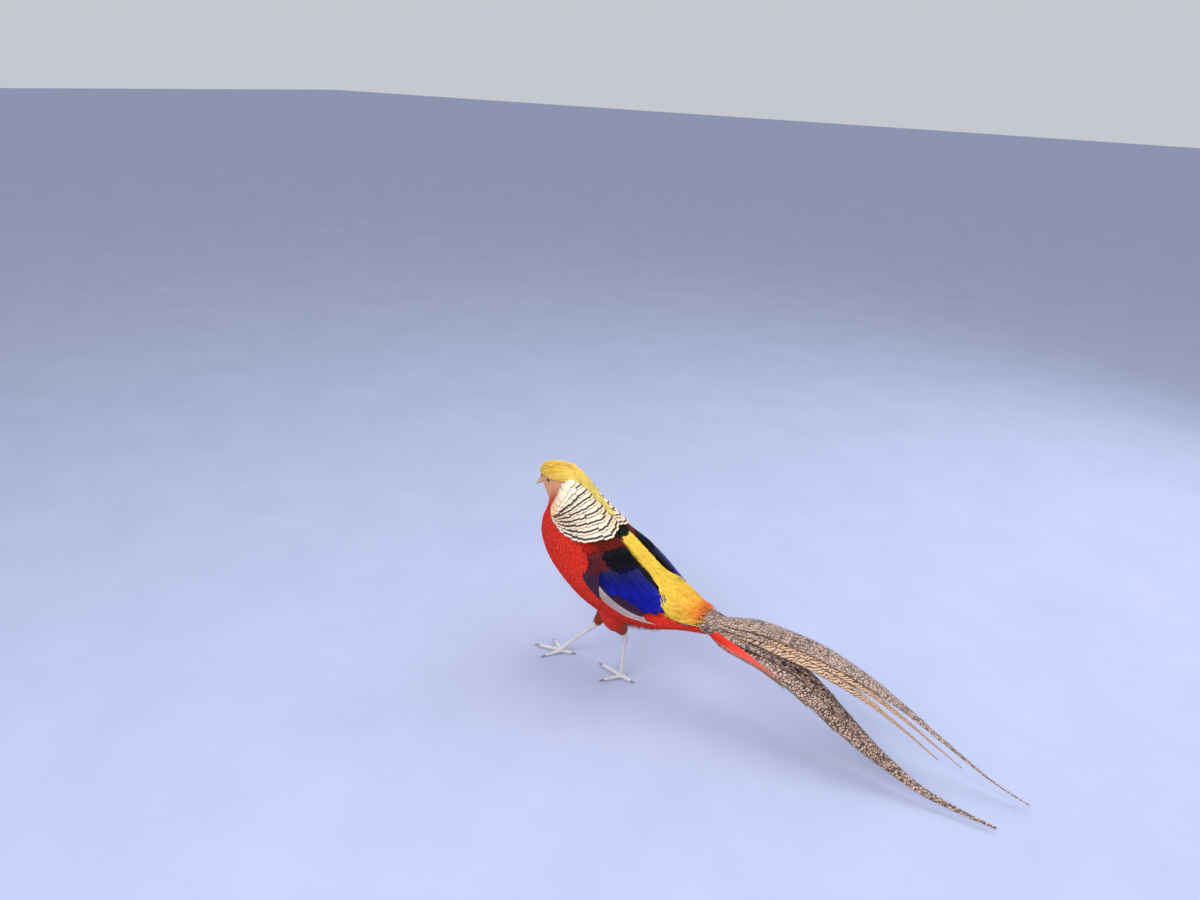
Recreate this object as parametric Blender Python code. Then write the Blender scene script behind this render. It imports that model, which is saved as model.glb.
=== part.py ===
# A male golden pheasant, life size, walking, as a still model.
# Metres, +Z up. The bird faces -X, its left side is at -Y, and its feet stand on z = 0.
import math
import random

import bmesh
import bpy
from mathutils import Vector

for old in list(bpy.data.objects):
    bpy.data.objects.remove(old, do_unlink=True)

MM = 0.001
GAP = 0.3 * MM

# The trunk is one run of oval sections from the bill's root to the tail's root.
# Each row is one section: its top point (x, z), its bottom point (x, z) and its half width.
SECTIONS = (
    ((-0.0985, 0.3200), (-0.0893, 0.3040), 0.0064),
    ((-0.0960, 0.3295), (-0.0850, 0.2985), 0.0102),
    ((-0.0870, 0.3360), (-0.0818, 0.2922), 0.0130),
    ((-0.0715, 0.3382), (-0.0802, 0.2868), 0.0150),
    ((-0.0570, 0.3388), (-0.0798, 0.2815), 0.0178),
    ((-0.0410, 0.3345), (-0.0803, 0.2762), 0.0215),
    ((-0.0260, 0.3225), (-0.0818, 0.2700), 0.0275),
    ((-0.0110, 0.3065), (-0.0845, 0.2630), 0.0345),
    ((0.0070, 0.2885), (-0.0883, 0.2535), 0.0405),
    ((0.0270, 0.2720), (-0.0908, 0.2415), 0.0460),
    ((0.0490, 0.2550), (-0.0912, 0.2210), 0.0520),
    ((0.0710, 0.2370), (-0.0770, 0.1875), 0.0575),
    ((0.0920, 0.2195), (-0.0470, 0.1560), 0.0605),
    ((0.1120, 0.2030), (-0.0110, 0.1310), 0.0595),
    ((0.1330, 0.1880), (0.0360, 0.1150), 0.0530),
    ((0.1550, 0.1755), (0.0930, 0.1175), 0.0435),
    ((0.1780, 0.1675), (0.1440, 0.1310), 0.0320),
    ((0.2000, 0.1630), (0.1840, 0.1370), 0.0230),
    ((0.2215, 0.1590), (0.2120, 0.1410), 0.0170),
    ((0.2420, 0.1570), (0.2370, 0.1450), 0.0130),
)
HEAD_END = 5.5
NECK_END = 10.0
TORSO_END = 16.5
TAIL_ROOT_END = 18.8
BROAD_BACK = 0.30
BROAD_START, BROAD_FULL = 7.5, 11.0

VANE = 0.7 * MM
LOCK = 0.8 * MM
SUNK = -2.4 * MM
COVER = 0.93


def blend(points, t):
    """Smooth curve through the points, with t counted in points."""
    last = len(points) - 1
    i = max(0, min(last - 1, int(math.floor(t))))
    f = t - i
    p1, p2 = Vector(points[i]), Vector(points[i + 1])
    p0 = Vector(points[i - 1]) if i > 0 else p1 * 2 - p2
    p3 = Vector(points[i + 2]) if i + 2 <= last else p2 * 2 - p1
    return 0.5 * (2 * p1 + (p2 - p0) * f + (2 * p0 - 5 * p1 + 4 * p2 - p3) * f ** 2
                  + (3 * p1 - p0 - 3 * p2 + p3) * f ** 3)


def curve(points, t):
    """The same curve with t running from 0 to 1."""
    return blend(points, t * (len(points) - 1))


def profile(values, t):
    """A number that follows a smooth run of values as t goes from 0 to 1."""
    return curve([(v, 0.0, 0.0) for v in values], t).x


SECTION_ROWS = [(top[0], top[1], low[0], low[1]) for top, low, _ in SECTIONS]
SECTION_WIDTHS = [(width, 0.0) for _, _, width in SECTIONS]


def broad_back(u):
    """How much broader a section is above its middle than below it: none on the neck."""
    t = max(0.0, min(1.0, (u - BROAD_START) / (BROAD_FULL - BROAD_START)))
    return BROAD_BACK * t * t * (3 - 2 * t)


def trunk_point(u, degrees):
    """Point of the trunk's skin: u is the section, degrees turn from the top to the right side."""
    row = blend(SECTION_ROWS, u)
    width = blend(SECTION_WIDTHS, u).x
    turn = math.radians(degrees)
    middle = Vector(((row[0] + row[2]) / 2, 0, (row[1] + row[3]) / 2))
    rise = Vector(((row[0] - row[2]) / 2, 0, (row[1] - row[3]) / 2))
    width *= 1 + broad_back(u) * math.cos(turn)
    return middle + rise * math.cos(turn) + Vector((0, width * math.sin(turn), 0))


def surface_frame(surface, a, b):
    """Point, the two directions of a surface there, and its outward normal."""
    da, db = 0.02, 1.0
    along = (surface(a + da, b) - surface(a - da, b)) / (2 * da)
    across = (surface(a, b + db) - surface(a, b - db)) / (2 * db)
    return surface(a, b), along, across, along.cross(across).normalized()


def raised(surface, a, b, height):
    """Point at a height over a surface."""
    point, _, _, normal = surface_frame(surface, a, b)
    return point + normal * height


def mesh_object(name, points, faces):
    mesh = bpy.data.meshes.new(name)
    mesh.from_pydata([tuple(p) for p in points], [], faces)
    work = bmesh.new()
    work.from_mesh(mesh)
    bmesh.ops.recalc_face_normals(work, faces=work.faces)
    work.to_mesh(mesh)
    work.free()
    node = bpy.data.objects.new(name, mesh)
    bpy.context.scene.collection.objects.link(node)
    return node


def rings_object(name, rings):
    """Closed tube through rings of points, with a fan of triangles at each end."""
    sides = len(rings[0])
    points = [p for ring in rings for p in ring]
    faces = []
    for i in range(len(rings) - 1):
        for j in range(sides):
            k = (j + 1) % sides
            a, b = i * sides + j, i * sides + k
            faces.append((a, b, b + sides))
            faces.append((a, b + sides, a + sides))
    for start in (0, (len(rings) - 1) * sides):
        middle = sum((Vector(points[start + j]) for j in range(sides)), Vector()) / sides
        points.append(middle)
        for j in range(sides):
            faces.append((start + j, start + (j + 1) % sides, len(points) - 1))
    return mesh_object(name, points, faces)


def tube(name, centres, radii, sides=8, floor=None, squash=1.0):
    """Round tapered tube; with a floor its underside is pressed flat at that height."""
    rings = []
    count = len(centres)
    whole = (Vector(centres[-1]) - Vector(centres[0])).normalized()
    guide = Vector((1, 0, 0)) if abs(whole.z) > 0.6 else Vector((0, 0, 1))
    for i, (centre, radius) in enumerate(zip(centres, radii)):
        before, after = Vector(centres[max(0, i - 1)]), Vector(centres[min(count - 1, i + 1)])
        forward = (after - before).normalized()
        side = forward.cross(guide).normalized()
        up = side.cross(forward)
        ring = []
        for j in range(sides):
            turn = math.tau * (j + 0.5) / sides
            p = Vector(centre) + side * radius * math.cos(turn) + up * radius * squash * math.sin(turn)
            if floor is not None:
                p.z = max(p.z, floor)
            ring.append(p)
        rings.append(ring)
    return rings_object(name, rings)


def plate_object(name, top, bottom):
    """Closed thin plate from two grids of points, split alike on both faces."""
    rows, columns = len(top), len(top[0])
    points = [p for row in top for p in row] + [p for row in bottom for p in row]
    under = rows * columns
    faces = []
    for i in range(rows - 1):
        for j in range(columns - 1):
            a, b = i * columns + j, i * columns + j + 1
            c, d = b + columns, a + columns
            faces += [(a, b, c), (a, c, d)]
            faces += [(under + a, under + c, under + b), (under + a, under + d, under + c)]
    edge = [(0, j) for j in range(columns)]
    edge += [(i, columns - 1) for i in range(1, rows)]
    edge += [(rows - 1, j) for j in range(columns - 2, -1, -1)]
    edge += [(i, 0) for i in range(rows - 2, 0, -1)]
    for (i0, j0), (i1, j1) in zip(edge, edge[1:] + edge[:1]):
        a, b = i0 * columns + j0, i1 * columns + j1
        faces += [(a, under + a, under + b), (a, under + b, b)]
    return mesh_object(name, points, faces)


def tier_height(root, tip, start, end):
    """Height of a tier over its surface, rising evenly from root to tip along that surface."""
    def height(a):
        return root + (tip - root) * (a - start) / (end - start)
    return height


def fan_of_vanes(surface, ends, edges, count, height, shape, rows, thick, reach, kept=None):
    """A tier of flat feathers side by side on a surface, each closed and clear of the next.

    ends are the places a of the roots and tips; edges are the places b of the tier's first
    and last feather at the roots, then at the tips; shape gives a feather's breadth from
    root to tip as a share of the room it has; reach gives its length from its place in the
    tier; kept tells which places b have a feather.
    """
    vanes = []
    for i in range(count):
        share = i / (count - 1)
        if kept and not kept(edges[0] + (edges[1] - edges[0]) * share):
            continue
        length = (ends[1] - ends[0]) * reach(share)
        top, bottom = [], []
        for k in range(rows + 1):
            a = ends[0] + length * k / rows
            t = (a - ends[0]) / (ends[1] - ends[0])
            first = edges[0] + (edges[2] - edges[0]) * t
            last = edges[1] + (edges[3] - edges[1]) * t
            middle = first + (last - first) * share
            room = COVER * abs(last - first) / (count - 1)
            half = room / 2 * min(1.0, profile(shape, k / rows))
            places = ((a, middle - half), (a, middle + half))
            top.append([raised(surface, *place, height(a) + thick / 2) for place in places])
            bottom.append([raised(surface, *place, height(a) - thick / 2) for place in places])
        vanes.append(plate_object("vane", top, bottom))
    return vanes


def ball(name, centre, radii, segments=12, rings=8):
    """Egg-shaped solid with its poles along Y."""
    bpy.ops.mesh.primitive_uv_sphere_add(segments=segments, ring_count=rings, radius=1.0)
    node = bpy.context.object
    node.name = name
    for vertex in node.data.vertices:
        x, y, z = vertex.co
        vertex.co = Vector((x * radii[0], -z * radii[1], y * radii[2])) + Vector(centre)
    return node


def evaluated(node):
    """Replace a node's mesh by what its modifiers make of it."""
    graph = bpy.context.evaluated_depsgraph_get()
    mesh = bpy.data.meshes.new_from_object(node.evaluated_get(graph))
    node.modifiers.clear()
    node.data = mesh


def keep_largest(node):
    """Keep only the node's largest closed surface."""
    work = bmesh.new()
    work.from_mesh(node.data)
    bmesh.ops.triangulate(work, faces=work.faces)
    work.faces.ensure_lookup_table()
    seen, groups = set(), []
    for face in work.faces:
        if face.index in seen:
            continue
        group, queue = [], [face]
        seen.add(face.index)
        while queue:
            current = queue.pop()
            group.append(current)
            for edge in current.edges:
                for other in edge.link_faces:
                    if other.index not in seen:
                        seen.add(other.index)
                        queue.append(other)
        groups.append(group)
    groups.sort(key=lambda g: sum(f.calc_area() for f in g))
    scraps = [face for group in groups[:-1] for face in group]
    bmesh.ops.delete(work, geom=scraps, context="FACES")
    loose = [v for v in work.verts if not v.link_faces]
    bmesh.ops.delete(work, geom=loose, context="VERTS")
    work.to_mesh(node.data)
    work.free()


def join(node, pieces, solver="EXACT"):
    """Fuse the pieces into the node with one union, then remove them."""
    group = bpy.data.collections.new("join")
    bpy.context.scene.collection.children.link(group)
    for piece in pieces:
        for home in list(piece.users_collection):
            home.objects.unlink(piece)
        group.objects.link(piece)
    union = node.modifiers.new("join", "BOOLEAN")
    union.operation = "UNION"
    union.operand_type = "COLLECTION"
    union.collection = group
    union.solver = solver
    evaluated(node)
    for piece in pieces:
        bpy.data.objects.remove(piece, do_unlink=True)
    bpy.data.collections.remove(group)
    keep_largest(node)


def carve(node, cutter):
    """Cut a shape out of the node, then remove the cutter."""
    cut = node.modifiers.new("carve", "BOOLEAN")
    cut.operation = "DIFFERENCE"
    cut.solver = "EXACT"
    cut.object = cutter
    evaluated(node)
    bpy.data.objects.remove(cutter, do_unlink=True)
    keep_largest(node)


def grown(node, distance):
    """A copy of the node, swollen by a distance, to cut its neighbour clear of it."""
    copy = node.copy()
    copy.data = node.data.copy()
    bpy.context.scene.collection.objects.link(copy)
    for vertex in copy.data.vertices:
        vertex.co += vertex.normal * distance
    return copy


def finish(node, name, color, roughness=0.6, metallic=0.0):
    """Name the node, shade it smooth and give it its own material."""
    node.name = name
    node.data.name = name
    material = bpy.data.materials.new(name)
    material.use_nodes = True
    shader = material.node_tree.nodes["Principled BSDF"]
    shader.inputs["Base Color"].default_value = (*color, 1.0)
    shader.inputs["Roughness"].default_value = roughness
    shader.inputs["Metallic"].default_value = metallic
    node.data.materials.clear()
    node.data.materials.append(material)
    node.data.shade_smooth()
    node.data.set_sharp_from_angle(angle=math.radians(40))
    return node


def trunk_length(name, start, end, stations, sides, start_gap, end_gap, height=0.0):
    """A length of the trunk with flat ends, each drawn in by its gap."""
    rings = []
    for i in range(stations + 1):
        u = start + (end - start) * i / stations
        ring = [raised(trunk_point, u, 360 * j / sides, height) for j in range(sides)]
        shift = start_gap if i == 0 else -end_gap if i == stations else 0.0
        if shift:
            axis = (ring[sides // 4] - ring[0]).cross(ring[sides // 2] - ring[0]).normalized()
            ahead = trunk_point(u + 0.1, 90) + trunk_point(u + 0.1, 270)
            if axis.dot(ahead / 2 - (ring[0] + ring[sides // 2]) / 2) < 0:
                axis = -axis
            ring = [p + axis * shift for p in ring]
        rings.append(ring)
    return rings_object(name, rings)


GOLD = (0.86, 0.60, 0.07)
FACE = (0.60, 0.32, 0.17)
CREAM = (0.80, 0.55, 0.30)
SCARLET = (0.70, 0.03, 0.015)
BLUE = (0.01, 0.03, 0.45)
BUFF = (0.42, 0.27, 0.14)
HORN = (0.62, 0.50, 0.30)
LEG = (0.55, 0.52, 0.46)

EYE_X, EYE_Y, EYE_Z = -0.0780, 0.0098, 0.3170
EYE_RADIUS = 4.6 * MM


def make_eyes():
    for side, name in ((-1, "eye_left"), (1, "eye_right")):
        eye = ball(name, (EYE_X, side * EYE_Y, EYE_Z), (EYE_RADIUS,) * 3, 12, 6)
        finish(eye, name, (0.30, 0.14, 0.02), 0.15)


CREST_TIERS = (
    # root section, tip section, half angle at the root and tip, locks, height at the tip
    (3.90, 8.35, 56, 40, 8, 7.2 * MM),
    (2.90, 7.50, 54, 40, 7, 8.4 * MM),
    (1.70, 6.45, 48, 38, 6, 8.9 * MM),
    (0.45, 4.90, 40, 36, 5, 8.0 * MM),
)
LOCK_SHAPE = (0.8, 1.0, 1.0, 0.8, 0.25)


def crest_locks():
    """Silky crest: flat locks in tiers from the forehead over the crown and down the nape."""
    draw = random.Random(11)
    locks = []
    for root, tip, fan, fan_tip, count, lift in CREST_TIERS:
        locks += fan_of_vanes(
            trunk_point, (root, tip), (-fan, fan, -fan_tip, fan_tip), count,
            tier_height(SUNK, lift, root, tip), LOCK_SHAPE, 5, LOCK,
            lambda share: (1 - 0.14 * (2 * share - 1) ** 2) * draw.uniform(0.94, 1.02))
    return locks


def make_head():
    head = trunk_length("head", 0.0, HEAD_END, 10, 16, 0.0, 0.0)
    extras = crest_locks()
    for side in (-1, 1):
        bpy.ops.mesh.primitive_torus_add(
            major_radius=4.7 * MM, minor_radius=1.1 * MM, major_segments=15, minor_segments=5,
            location=(EYE_X, side * 12.9 * MM, EYE_Z), rotation=(math.pi / 2, 0, 0))
        lids = bpy.context.object
        lids.data.transform(lids.matrix_world)
        lids.matrix_world.identity()
        extras.append(lids)
        extras.append(ball("wattle", (-0.0800, side * 12.6 * MM, 0.3075),
                           (3.6 * MM, 2.0 * MM, 4.4 * MM), 8, 6))
    join(head, extras)
    for side in (-1, 1):
        carve(head, ball("socket", (EYE_X, side * EYE_Y, EYE_Z), (EYE_RADIUS + GAP,) * 3, 12, 6))
    finish(head, "head", GOLD)


BILL_ROOT = Vector((-0.0929, 0, 0.3086))
BILL_TIP = Vector((-0.1080, 0, 0.2978))
BILL_STATIONS = 6


def half_bill(name, direction, depth, half_width, reach, droop):
    """One half of the bill: half-oval sections on the line of the mouth."""
    forward = (BILL_TIP - BILL_ROOT).normalized()
    up = Vector((forward.z, 0, -forward.x)) * direction
    length = (BILL_TIP - BILL_ROOT).length * reach
    rings = []
    for i in range(BILL_STATIONS + 1):
        t = i / BILL_STATIONS
        fall = (1 - t) ** 0.75
        centre = BILL_ROOT + forward * (GAP + length * t) + up * GAP / 2
        centre += Vector((0, 0, -droop * t ** 3))
        ring = []
        for j in range(9):
            turn = math.pi * j / 8
            high = depth * max(fall, 0.10) * math.sin(turn)
            wide = half_width * max(fall, 0.07) * math.cos(turn)
            ring.append(centre + up * high + Vector((0, wide, 0)))
        rings.append(ring)
    return rings_object(name, rings)


def make_bill():
    upper = half_bill("bill_upper", 1, 7.4 * MM, 5.0 * MM, 1.0, 1.8 * MM)
    for side in (-1, 1):
        nostril = BILL_ROOT + (BILL_TIP - BILL_ROOT) * 0.28
        nostril += Vector((-1.6 * MM, side * 4.0 * MM, 3.2 * MM))
        carve(upper, ball("nostril", nostril, (1.7 * MM, 0.9 * MM, 0.8 * MM), 8, 6))
    finish(upper, "bill_upper", HORN, 0.4)
    lower = half_bill("bill_lower", -1, 3.6 * MM, 4.2 * MM, 0.86, 1.2 * MM)
    finish(lower, "bill_lower", HORN, 0.4)


CAPE_TIERS = (
    # root section, tip section, half angle, count, height at the tip, half angle left free for
    # the crest; lowest tier first
    (7.90, 9.80, 108, 15, 6.4 * MM, 0),
    (7.35, 9.05, 108, 14, 7.6 * MM, 0),
    (6.80, 8.40, 107, 13, 8.0 * MM, 56),
    (6.25, 7.80, 106, 12, 7.6 * MM, 66),
    (5.75, 7.15, 104, 11, 6.6 * MM, 74),
)
CAPE_SHAPE = (0.7, 1.0, 1.0, 1.0, 0.7)


def cape_vanes():
    """The cape: broad square-ended feathers in overlapping tiers round the neck."""
    draw = random.Random(23)
    vanes = []
    for root, tip, fan, count, lift, free in CAPE_TIERS:
        vanes += fan_of_vanes(
            trunk_point, (root, tip), (-fan, fan, -fan, fan), count,
            tier_height(SUNK, lift, root, tip), CAPE_SHAPE, 4, VANE,
            lambda share: (1 - 0.12 * (2 * share - 1) ** 4) * draw.uniform(0.96, 1.02),
            lambda b: abs(b) > free)
    return vanes


def make_neck():
    neck = trunk_length("neck", HEAD_END, NECK_END, 6, 20, GAP, 0.0)
    join(neck, cape_vanes())
    finish(neck, "neck", CREAM)


RUMP_TIERS = (
    # root section, tip section, half angle at the root and tip, locks, height at the tip
    (14.7, 17.1, 34, 48, 9, 3.6 * MM),
    (13.5, 16.3, 24, 32, 6, 6.0 * MM),
)


def rump_locks():
    """Long loose plumes of the back and rump, which hang over the root of the tail."""
    draw = random.Random(31)
    locks = []
    for root, tip, fan, fan_tip, count, lift in RUMP_TIERS:
        locks += fan_of_vanes(
            trunk_point, (root, tip), (-fan, fan, -fan_tip, fan_tip), count,
            tier_height(SUNK, lift, root, tip), LOCK_SHAPE, 5, LOCK,
            lambda share: (1 - 0.10 * (2 * share - 1) ** 2) * draw.uniform(0.93, 1.02))
    return locks


def make_torso():
    torso = trunk_length("torso", NECK_END, TORSO_END, 12, 24, GAP, 0.0)
    join(torso, rump_locks())
    finish(torso, "torso", SCARLET)


WING_ROWS, WING_COLUMNS = 9, 6
WING_FRONT, WING_BACK = 10.7, 14.7
WING_CLEARANCE = 1.1 * MM
WING_LIFT = 5.0 * MM


def wing_base(u):
    """Height of the wing's inner face over the trunk: it stands off more towards its tip."""
    t = max(0.0, min(1.0, (u - WING_FRONT) / (WING_BACK - WING_FRONT)))
    return WING_CLEARANCE + WING_LIFT * t ** 1.6


def make_wing(side, name):
    top, bottom = [], []
    for i in range(WING_ROWS + 1):
        t = i / WING_ROWS
        u = WING_FRONT + (WING_BACK - WING_FRONT) * t
        upper_edge = profile((50, 24, 16, 16, 24, 44), t)
        lower_edge = profile((64, 82, 87, 87, 84, 72), t)
        body = profile((1.6, 4.2, 4.6, 3.6, 2.4, 1.2), t) * MM
        over, under = [], []
        for j in range(WING_COLUMNS + 1):
            s = j / WING_COLUMNS
            degrees = side * (upper_edge + (lower_edge - upper_edge) * s)
            height = wing_base(u)
            bulge = 1.0 * MM + (body - 1.0 * MM) * math.sin(math.pi * s) ** 0.6
            over.append(raised(trunk_point, u, degrees, height + bulge))
            under.append(raised(trunk_point, u, degrees, height))
        top.append(over)
        bottom.append(under)
    wing = plate_object(name, top, bottom)
    join(wing, wing_vanes(side))
    finish(wing, name, BLUE, 0.35)


WING_TIERS = (
    # root section, tip section, first and last angle at the root, the same at the tip, count,
    # height over the inner face at the tip
    (11.9, 14.95, 70, 88, 60, 82, 5, 1.4 * MM),
    (11.8, 14.55, 50, 72, 44, 70, 5, 4.4 * MM),
    (11.7, 14.65, 24, 48, 22, 46, 4, 7.0 * MM),
    (11.4, 13.00, 28, 74, 24, 78, 6, 8.6 * MM),
    (11.1, 12.25, 38, 66, 30, 74, 5, 10.2 * MM),
)
WING_SHAPE = (0.7, 1.0, 1.0, 0.9, 0.35)


def wing_height(start, end, lift):
    """Height of a tier of wing feathers over the trunk: it leaves the wing's body and rises."""
    rise = tier_height(0.9 * MM, lift, start, end)
    return lambda u: wing_base(u) + rise(u)


def wing_vanes(side):
    """Primaries, secondaries, broad tertials and two tiers of coverts, lowest first."""
    draw = random.Random(41)
    vanes = []
    for root, tip, r0, r1, t0, t1, count, lift in WING_TIERS:
        vanes += fan_of_vanes(
            trunk_point, (root, tip), (side * r0, side * r1, side * t0, side * t1), count,
            wing_height(root, tip, lift), WING_SHAPE, 5, VANE,
            lambda share: (1 - 0.10 * abs(share - 0.4)) * draw.uniform(0.96, 1.02))
    return vanes


# Heights z along x of the middle lines of the tail's right sheet and of its left sheet
TAIL_RIGHT = ((0.190, 0.157), (0.250, 0.163), (0.300, 0.158), (0.350, 0.149), (0.410, 0.129),
              (0.455, 0.108), (0.520, 0.073), (0.600, 0.031), (0.680, 0.005))
TAIL_LEFT = ((0.190, 0.155), (0.250, 0.154), (0.300, 0.143), (0.350, 0.122), (0.410, 0.084),
             (0.455, 0.056), (0.520, 0.0265), (0.600, 0.0140), (0.680, 0.0115))
TAIL_START = 0.194
TAIL_STEP = 0.042
TAIL_LAYER = 1.6 * MM
COVERT_LAYER = 1.0 * MM
LEFT_TILT = 0.62
# pair, side, length, place across the fan, half width, layers down from the top
RECTRICES = (
    (1, 1, 0.455, 0.88, 23.0 * MM, 0),
    (2, 1, 0.365, 0.25, 18.0 * MM, 1),
    (2, -1, 0.335, -0.30, 18.0 * MM, 2),
    (1, -1, 0.420, -0.95, 23.0 * MM, 3),
    (3, 1, 0.290, 1.25, 16.0 * MM, 3),
    (3, -1, 0.250, -1.28, 15.0 * MM, 4),
    (4, 1, 0.235, 1.45, 15.0 * MM, 4),
    (4, -1, 0.205, -1.45, 14.0 * MM, 5),
    (5, 1, 0.185, 1.64, 14.0 * MM, 5),
    (5, -1, 0.165, -1.62, 13.0 * MM, 6),
    (6, 1, 0.145, 1.82, 12.0 * MM, 6),
    (6, -1, 0.130, -1.78, 12.0 * MM, 7),
)
# breadth of a tail feather from root to tip, as a share of its full breadth
TAIL_SHAPE = (1.0, 1.0, 1.0, 0.75, 0.40, 0.19, 0.06)


def height_on(line, x):
    """Height of a line of (x, z) points at x."""
    k = 0
    while k < len(line) - 2 and x > line[k + 1][0]:
        k += 1
    share = (x - line[k][0]) / (line[k + 1][0] - line[k][0])
    return blend([(px, pz, 0.0) for px, pz in line], k + share).y


def tail_spread(a):
    """Distance in mm of the long outer feathers from the middle."""
    return 6.0 + 30.0 * (1 - math.exp(-a / 1.3))


def tail_sheet(a, b):
    """Right sheet of the tail: a in tenths of a metre behind its start, b in mm to the right."""
    x, y = TAIL_START + a * 0.1, b * MM
    vault = 3.0 + 8.0 * math.exp(-a / 0.5)
    return Vector((x, y, height_on(TAIL_RIGHT, x) - vault * y * y))


def tail_sheet_left(a, b):
    """Left sheet of the tail, which hangs lower and tilts down to the left."""
    x, y = TAIL_START + a * 0.1, b * MM
    vault = 2.0 + 8.0 * math.exp(-a / 0.5)
    aside = y + 0.95 * tail_spread(a) * MM
    tilt = LEFT_TILT * (1 - math.exp(-a / 1.0))
    return Vector((x, y, height_on(TAIL_LEFT, x) + tilt * aside - vault * aside * aside))


def feather_stops(length):
    """Stations along a tail feather, shared by all of them but for the tip."""
    stops, at, step = [], 0.0, 0.024
    while at < length - step * 0.6:
        stops.append(at)
        at += step
        step = min(TAIL_STEP, step * 1.18)
    return stops + [length]


def tail_vane(sheet, length, place, half, height, shift=0.0):
    """A tail feather on its sheet, with its stations in step with its neighbours."""
    top, bottom = [], []
    for stop in feather_stops(length):
        t = stop / length
        a = stop * 10
        b = place * tail_spread(a) + shift
        wide = min(half * profile(TAIL_SHAPE, t), 3.0 * MM + stop * 0.34)
        upper, lower = [], []
        for s in (-1, 0, 1):
            _, _, across, _ = surface_frame(sheet, a, b)
            spot = (a, b + s * wide / across.length)
            upper.append(raised(sheet, *spot, height + VANE / 2))
            lower.append(raised(sheet, *spot, height - VANE / 2))
        top.append(upper)
        bottom.append(lower)
    return plate_object("vane", top, bottom)


def tail_vanes():
    vanes = []
    for pair, side, length, place, half, layer in RECTRICES:
        left = side < 0 and pair != 2
        sheet = tail_sheet_left if left else tail_sheet
        vanes.append(tail_vane(sheet, length, place, half, -layer * TAIL_LAYER))
    return vanes


def covert_vanes():
    """Scarlet spear-like coverts beside the root of the tail, over its outer feathers."""
    draw = random.Random(53)
    vanes = []
    for side, sheet in ((-1, tail_sheet_left), (1, tail_sheet)):
        for i in range(4):
            length = (0.150 - 0.016 * i) * draw.uniform(0.95, 1.03)
            vanes.append(tail_vane(sheet, length, side * (1.35 + 0.22 * i), 6.0 * MM,
                                   COVERT_LAYER * (4 - i), side * 3.0))
    return vanes


def make_tail():
    tail = trunk_length("tail", TORSO_END, TAIL_ROOT_END, 4, 16, GAP, 0.0)
    join(tail, tail_vanes() + covert_vanes())
    finish(tail, "tail", BUFF)


# Each leg: side name, side, hip, knee bulge, ankle, foot centre, heading and toe angles
LEGS = (
    ("right", 1, (0.026, 0.030, 0.150), (0.020, 0.030, 0.112), (-0.003, 0.021, 0.066),
     (-0.056, 0.004), (8, 54, -38)),
    ("left", -1, (0.040, -0.030, 0.155), (0.050, -0.024, 0.121), (0.062, -0.009, 0.090),
     (0.058, -0.003), (-14, 46, -60)),
)
TOE_LENGTHS = (0.040, 0.029, 0.030)
TOE_RADIUS = 3.0 * MM
CLAW_LENGTH = 8.5 * MM
PALM_HEIGHT = 6.5 * MM


def toe_line(centre, angle, length, lift):
    """Points along a toe: angle is counted from straight ahead towards the left side."""
    turn = math.radians(angle)
    ahead = Vector((-math.cos(turn), -math.sin(turn), 0))
    start = Vector((centre[0], centre[1], 0))
    return [start + ahead * length * t + Vector((0, 0, z)) for t, z in
            ((0.0, lift), (0.28, lift * 0.78), (0.55, 2.9 * MM), (0.80, 2.8 * MM), (1.0, 2.4 * MM))]


def make_claw(name, base, angle):
    """Curved claw that starts just past the end of its toe."""
    turn = math.radians(angle)
    ahead = Vector((-math.cos(turn), -math.sin(turn), 0))
    points = [base + ahead * (1.8 * GAP + CLAW_LENGTH * t) + Vector((0, 0, z * MM)) for t, z in
              ((0.0, 0.0), (0.35, 0.1), (0.7, -0.5), (1.0, -1.4))]
    claw = tube(name, points, [1.5 * MM, 1.25 * MM, 0.8 * MM, 0.25 * MM], 6, floor=0.1 * MM)
    finish(claw, name, (0.20, 0.17, 0.15), 0.4)


def make_foot(word, centre, angles):
    foot = ball("foot", (centre[0], centre[1], 5.0 * MM), (6.5 * MM, 5.2 * MM, 5.0 * MM), 10, 6)
    for vertex in foot.data.vertices:
        vertex.co.z = max(vertex.co.z, 0.0)
    toes = []
    radii = [TOE_RADIUS * k for k in (1.15, 1.1, 0.98, 0.92, 0.70)]
    places = list(zip(angles, TOE_LENGTHS)) + [(angles[0] + 188, 0.017)]
    for number, (angle, length) in enumerate(places, 1):
        line = toe_line(centre, angle, length, PALM_HEIGHT * 0.7)
        toes.append(tube("toe", line, radii, 6, floor=0.0))
        make_claw(f"claw_{word}_{number}", line[-1], angle)
    join(foot, toes)
    finish(foot, f"foot_{word}", LEG, 0.6)
    return foot


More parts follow.
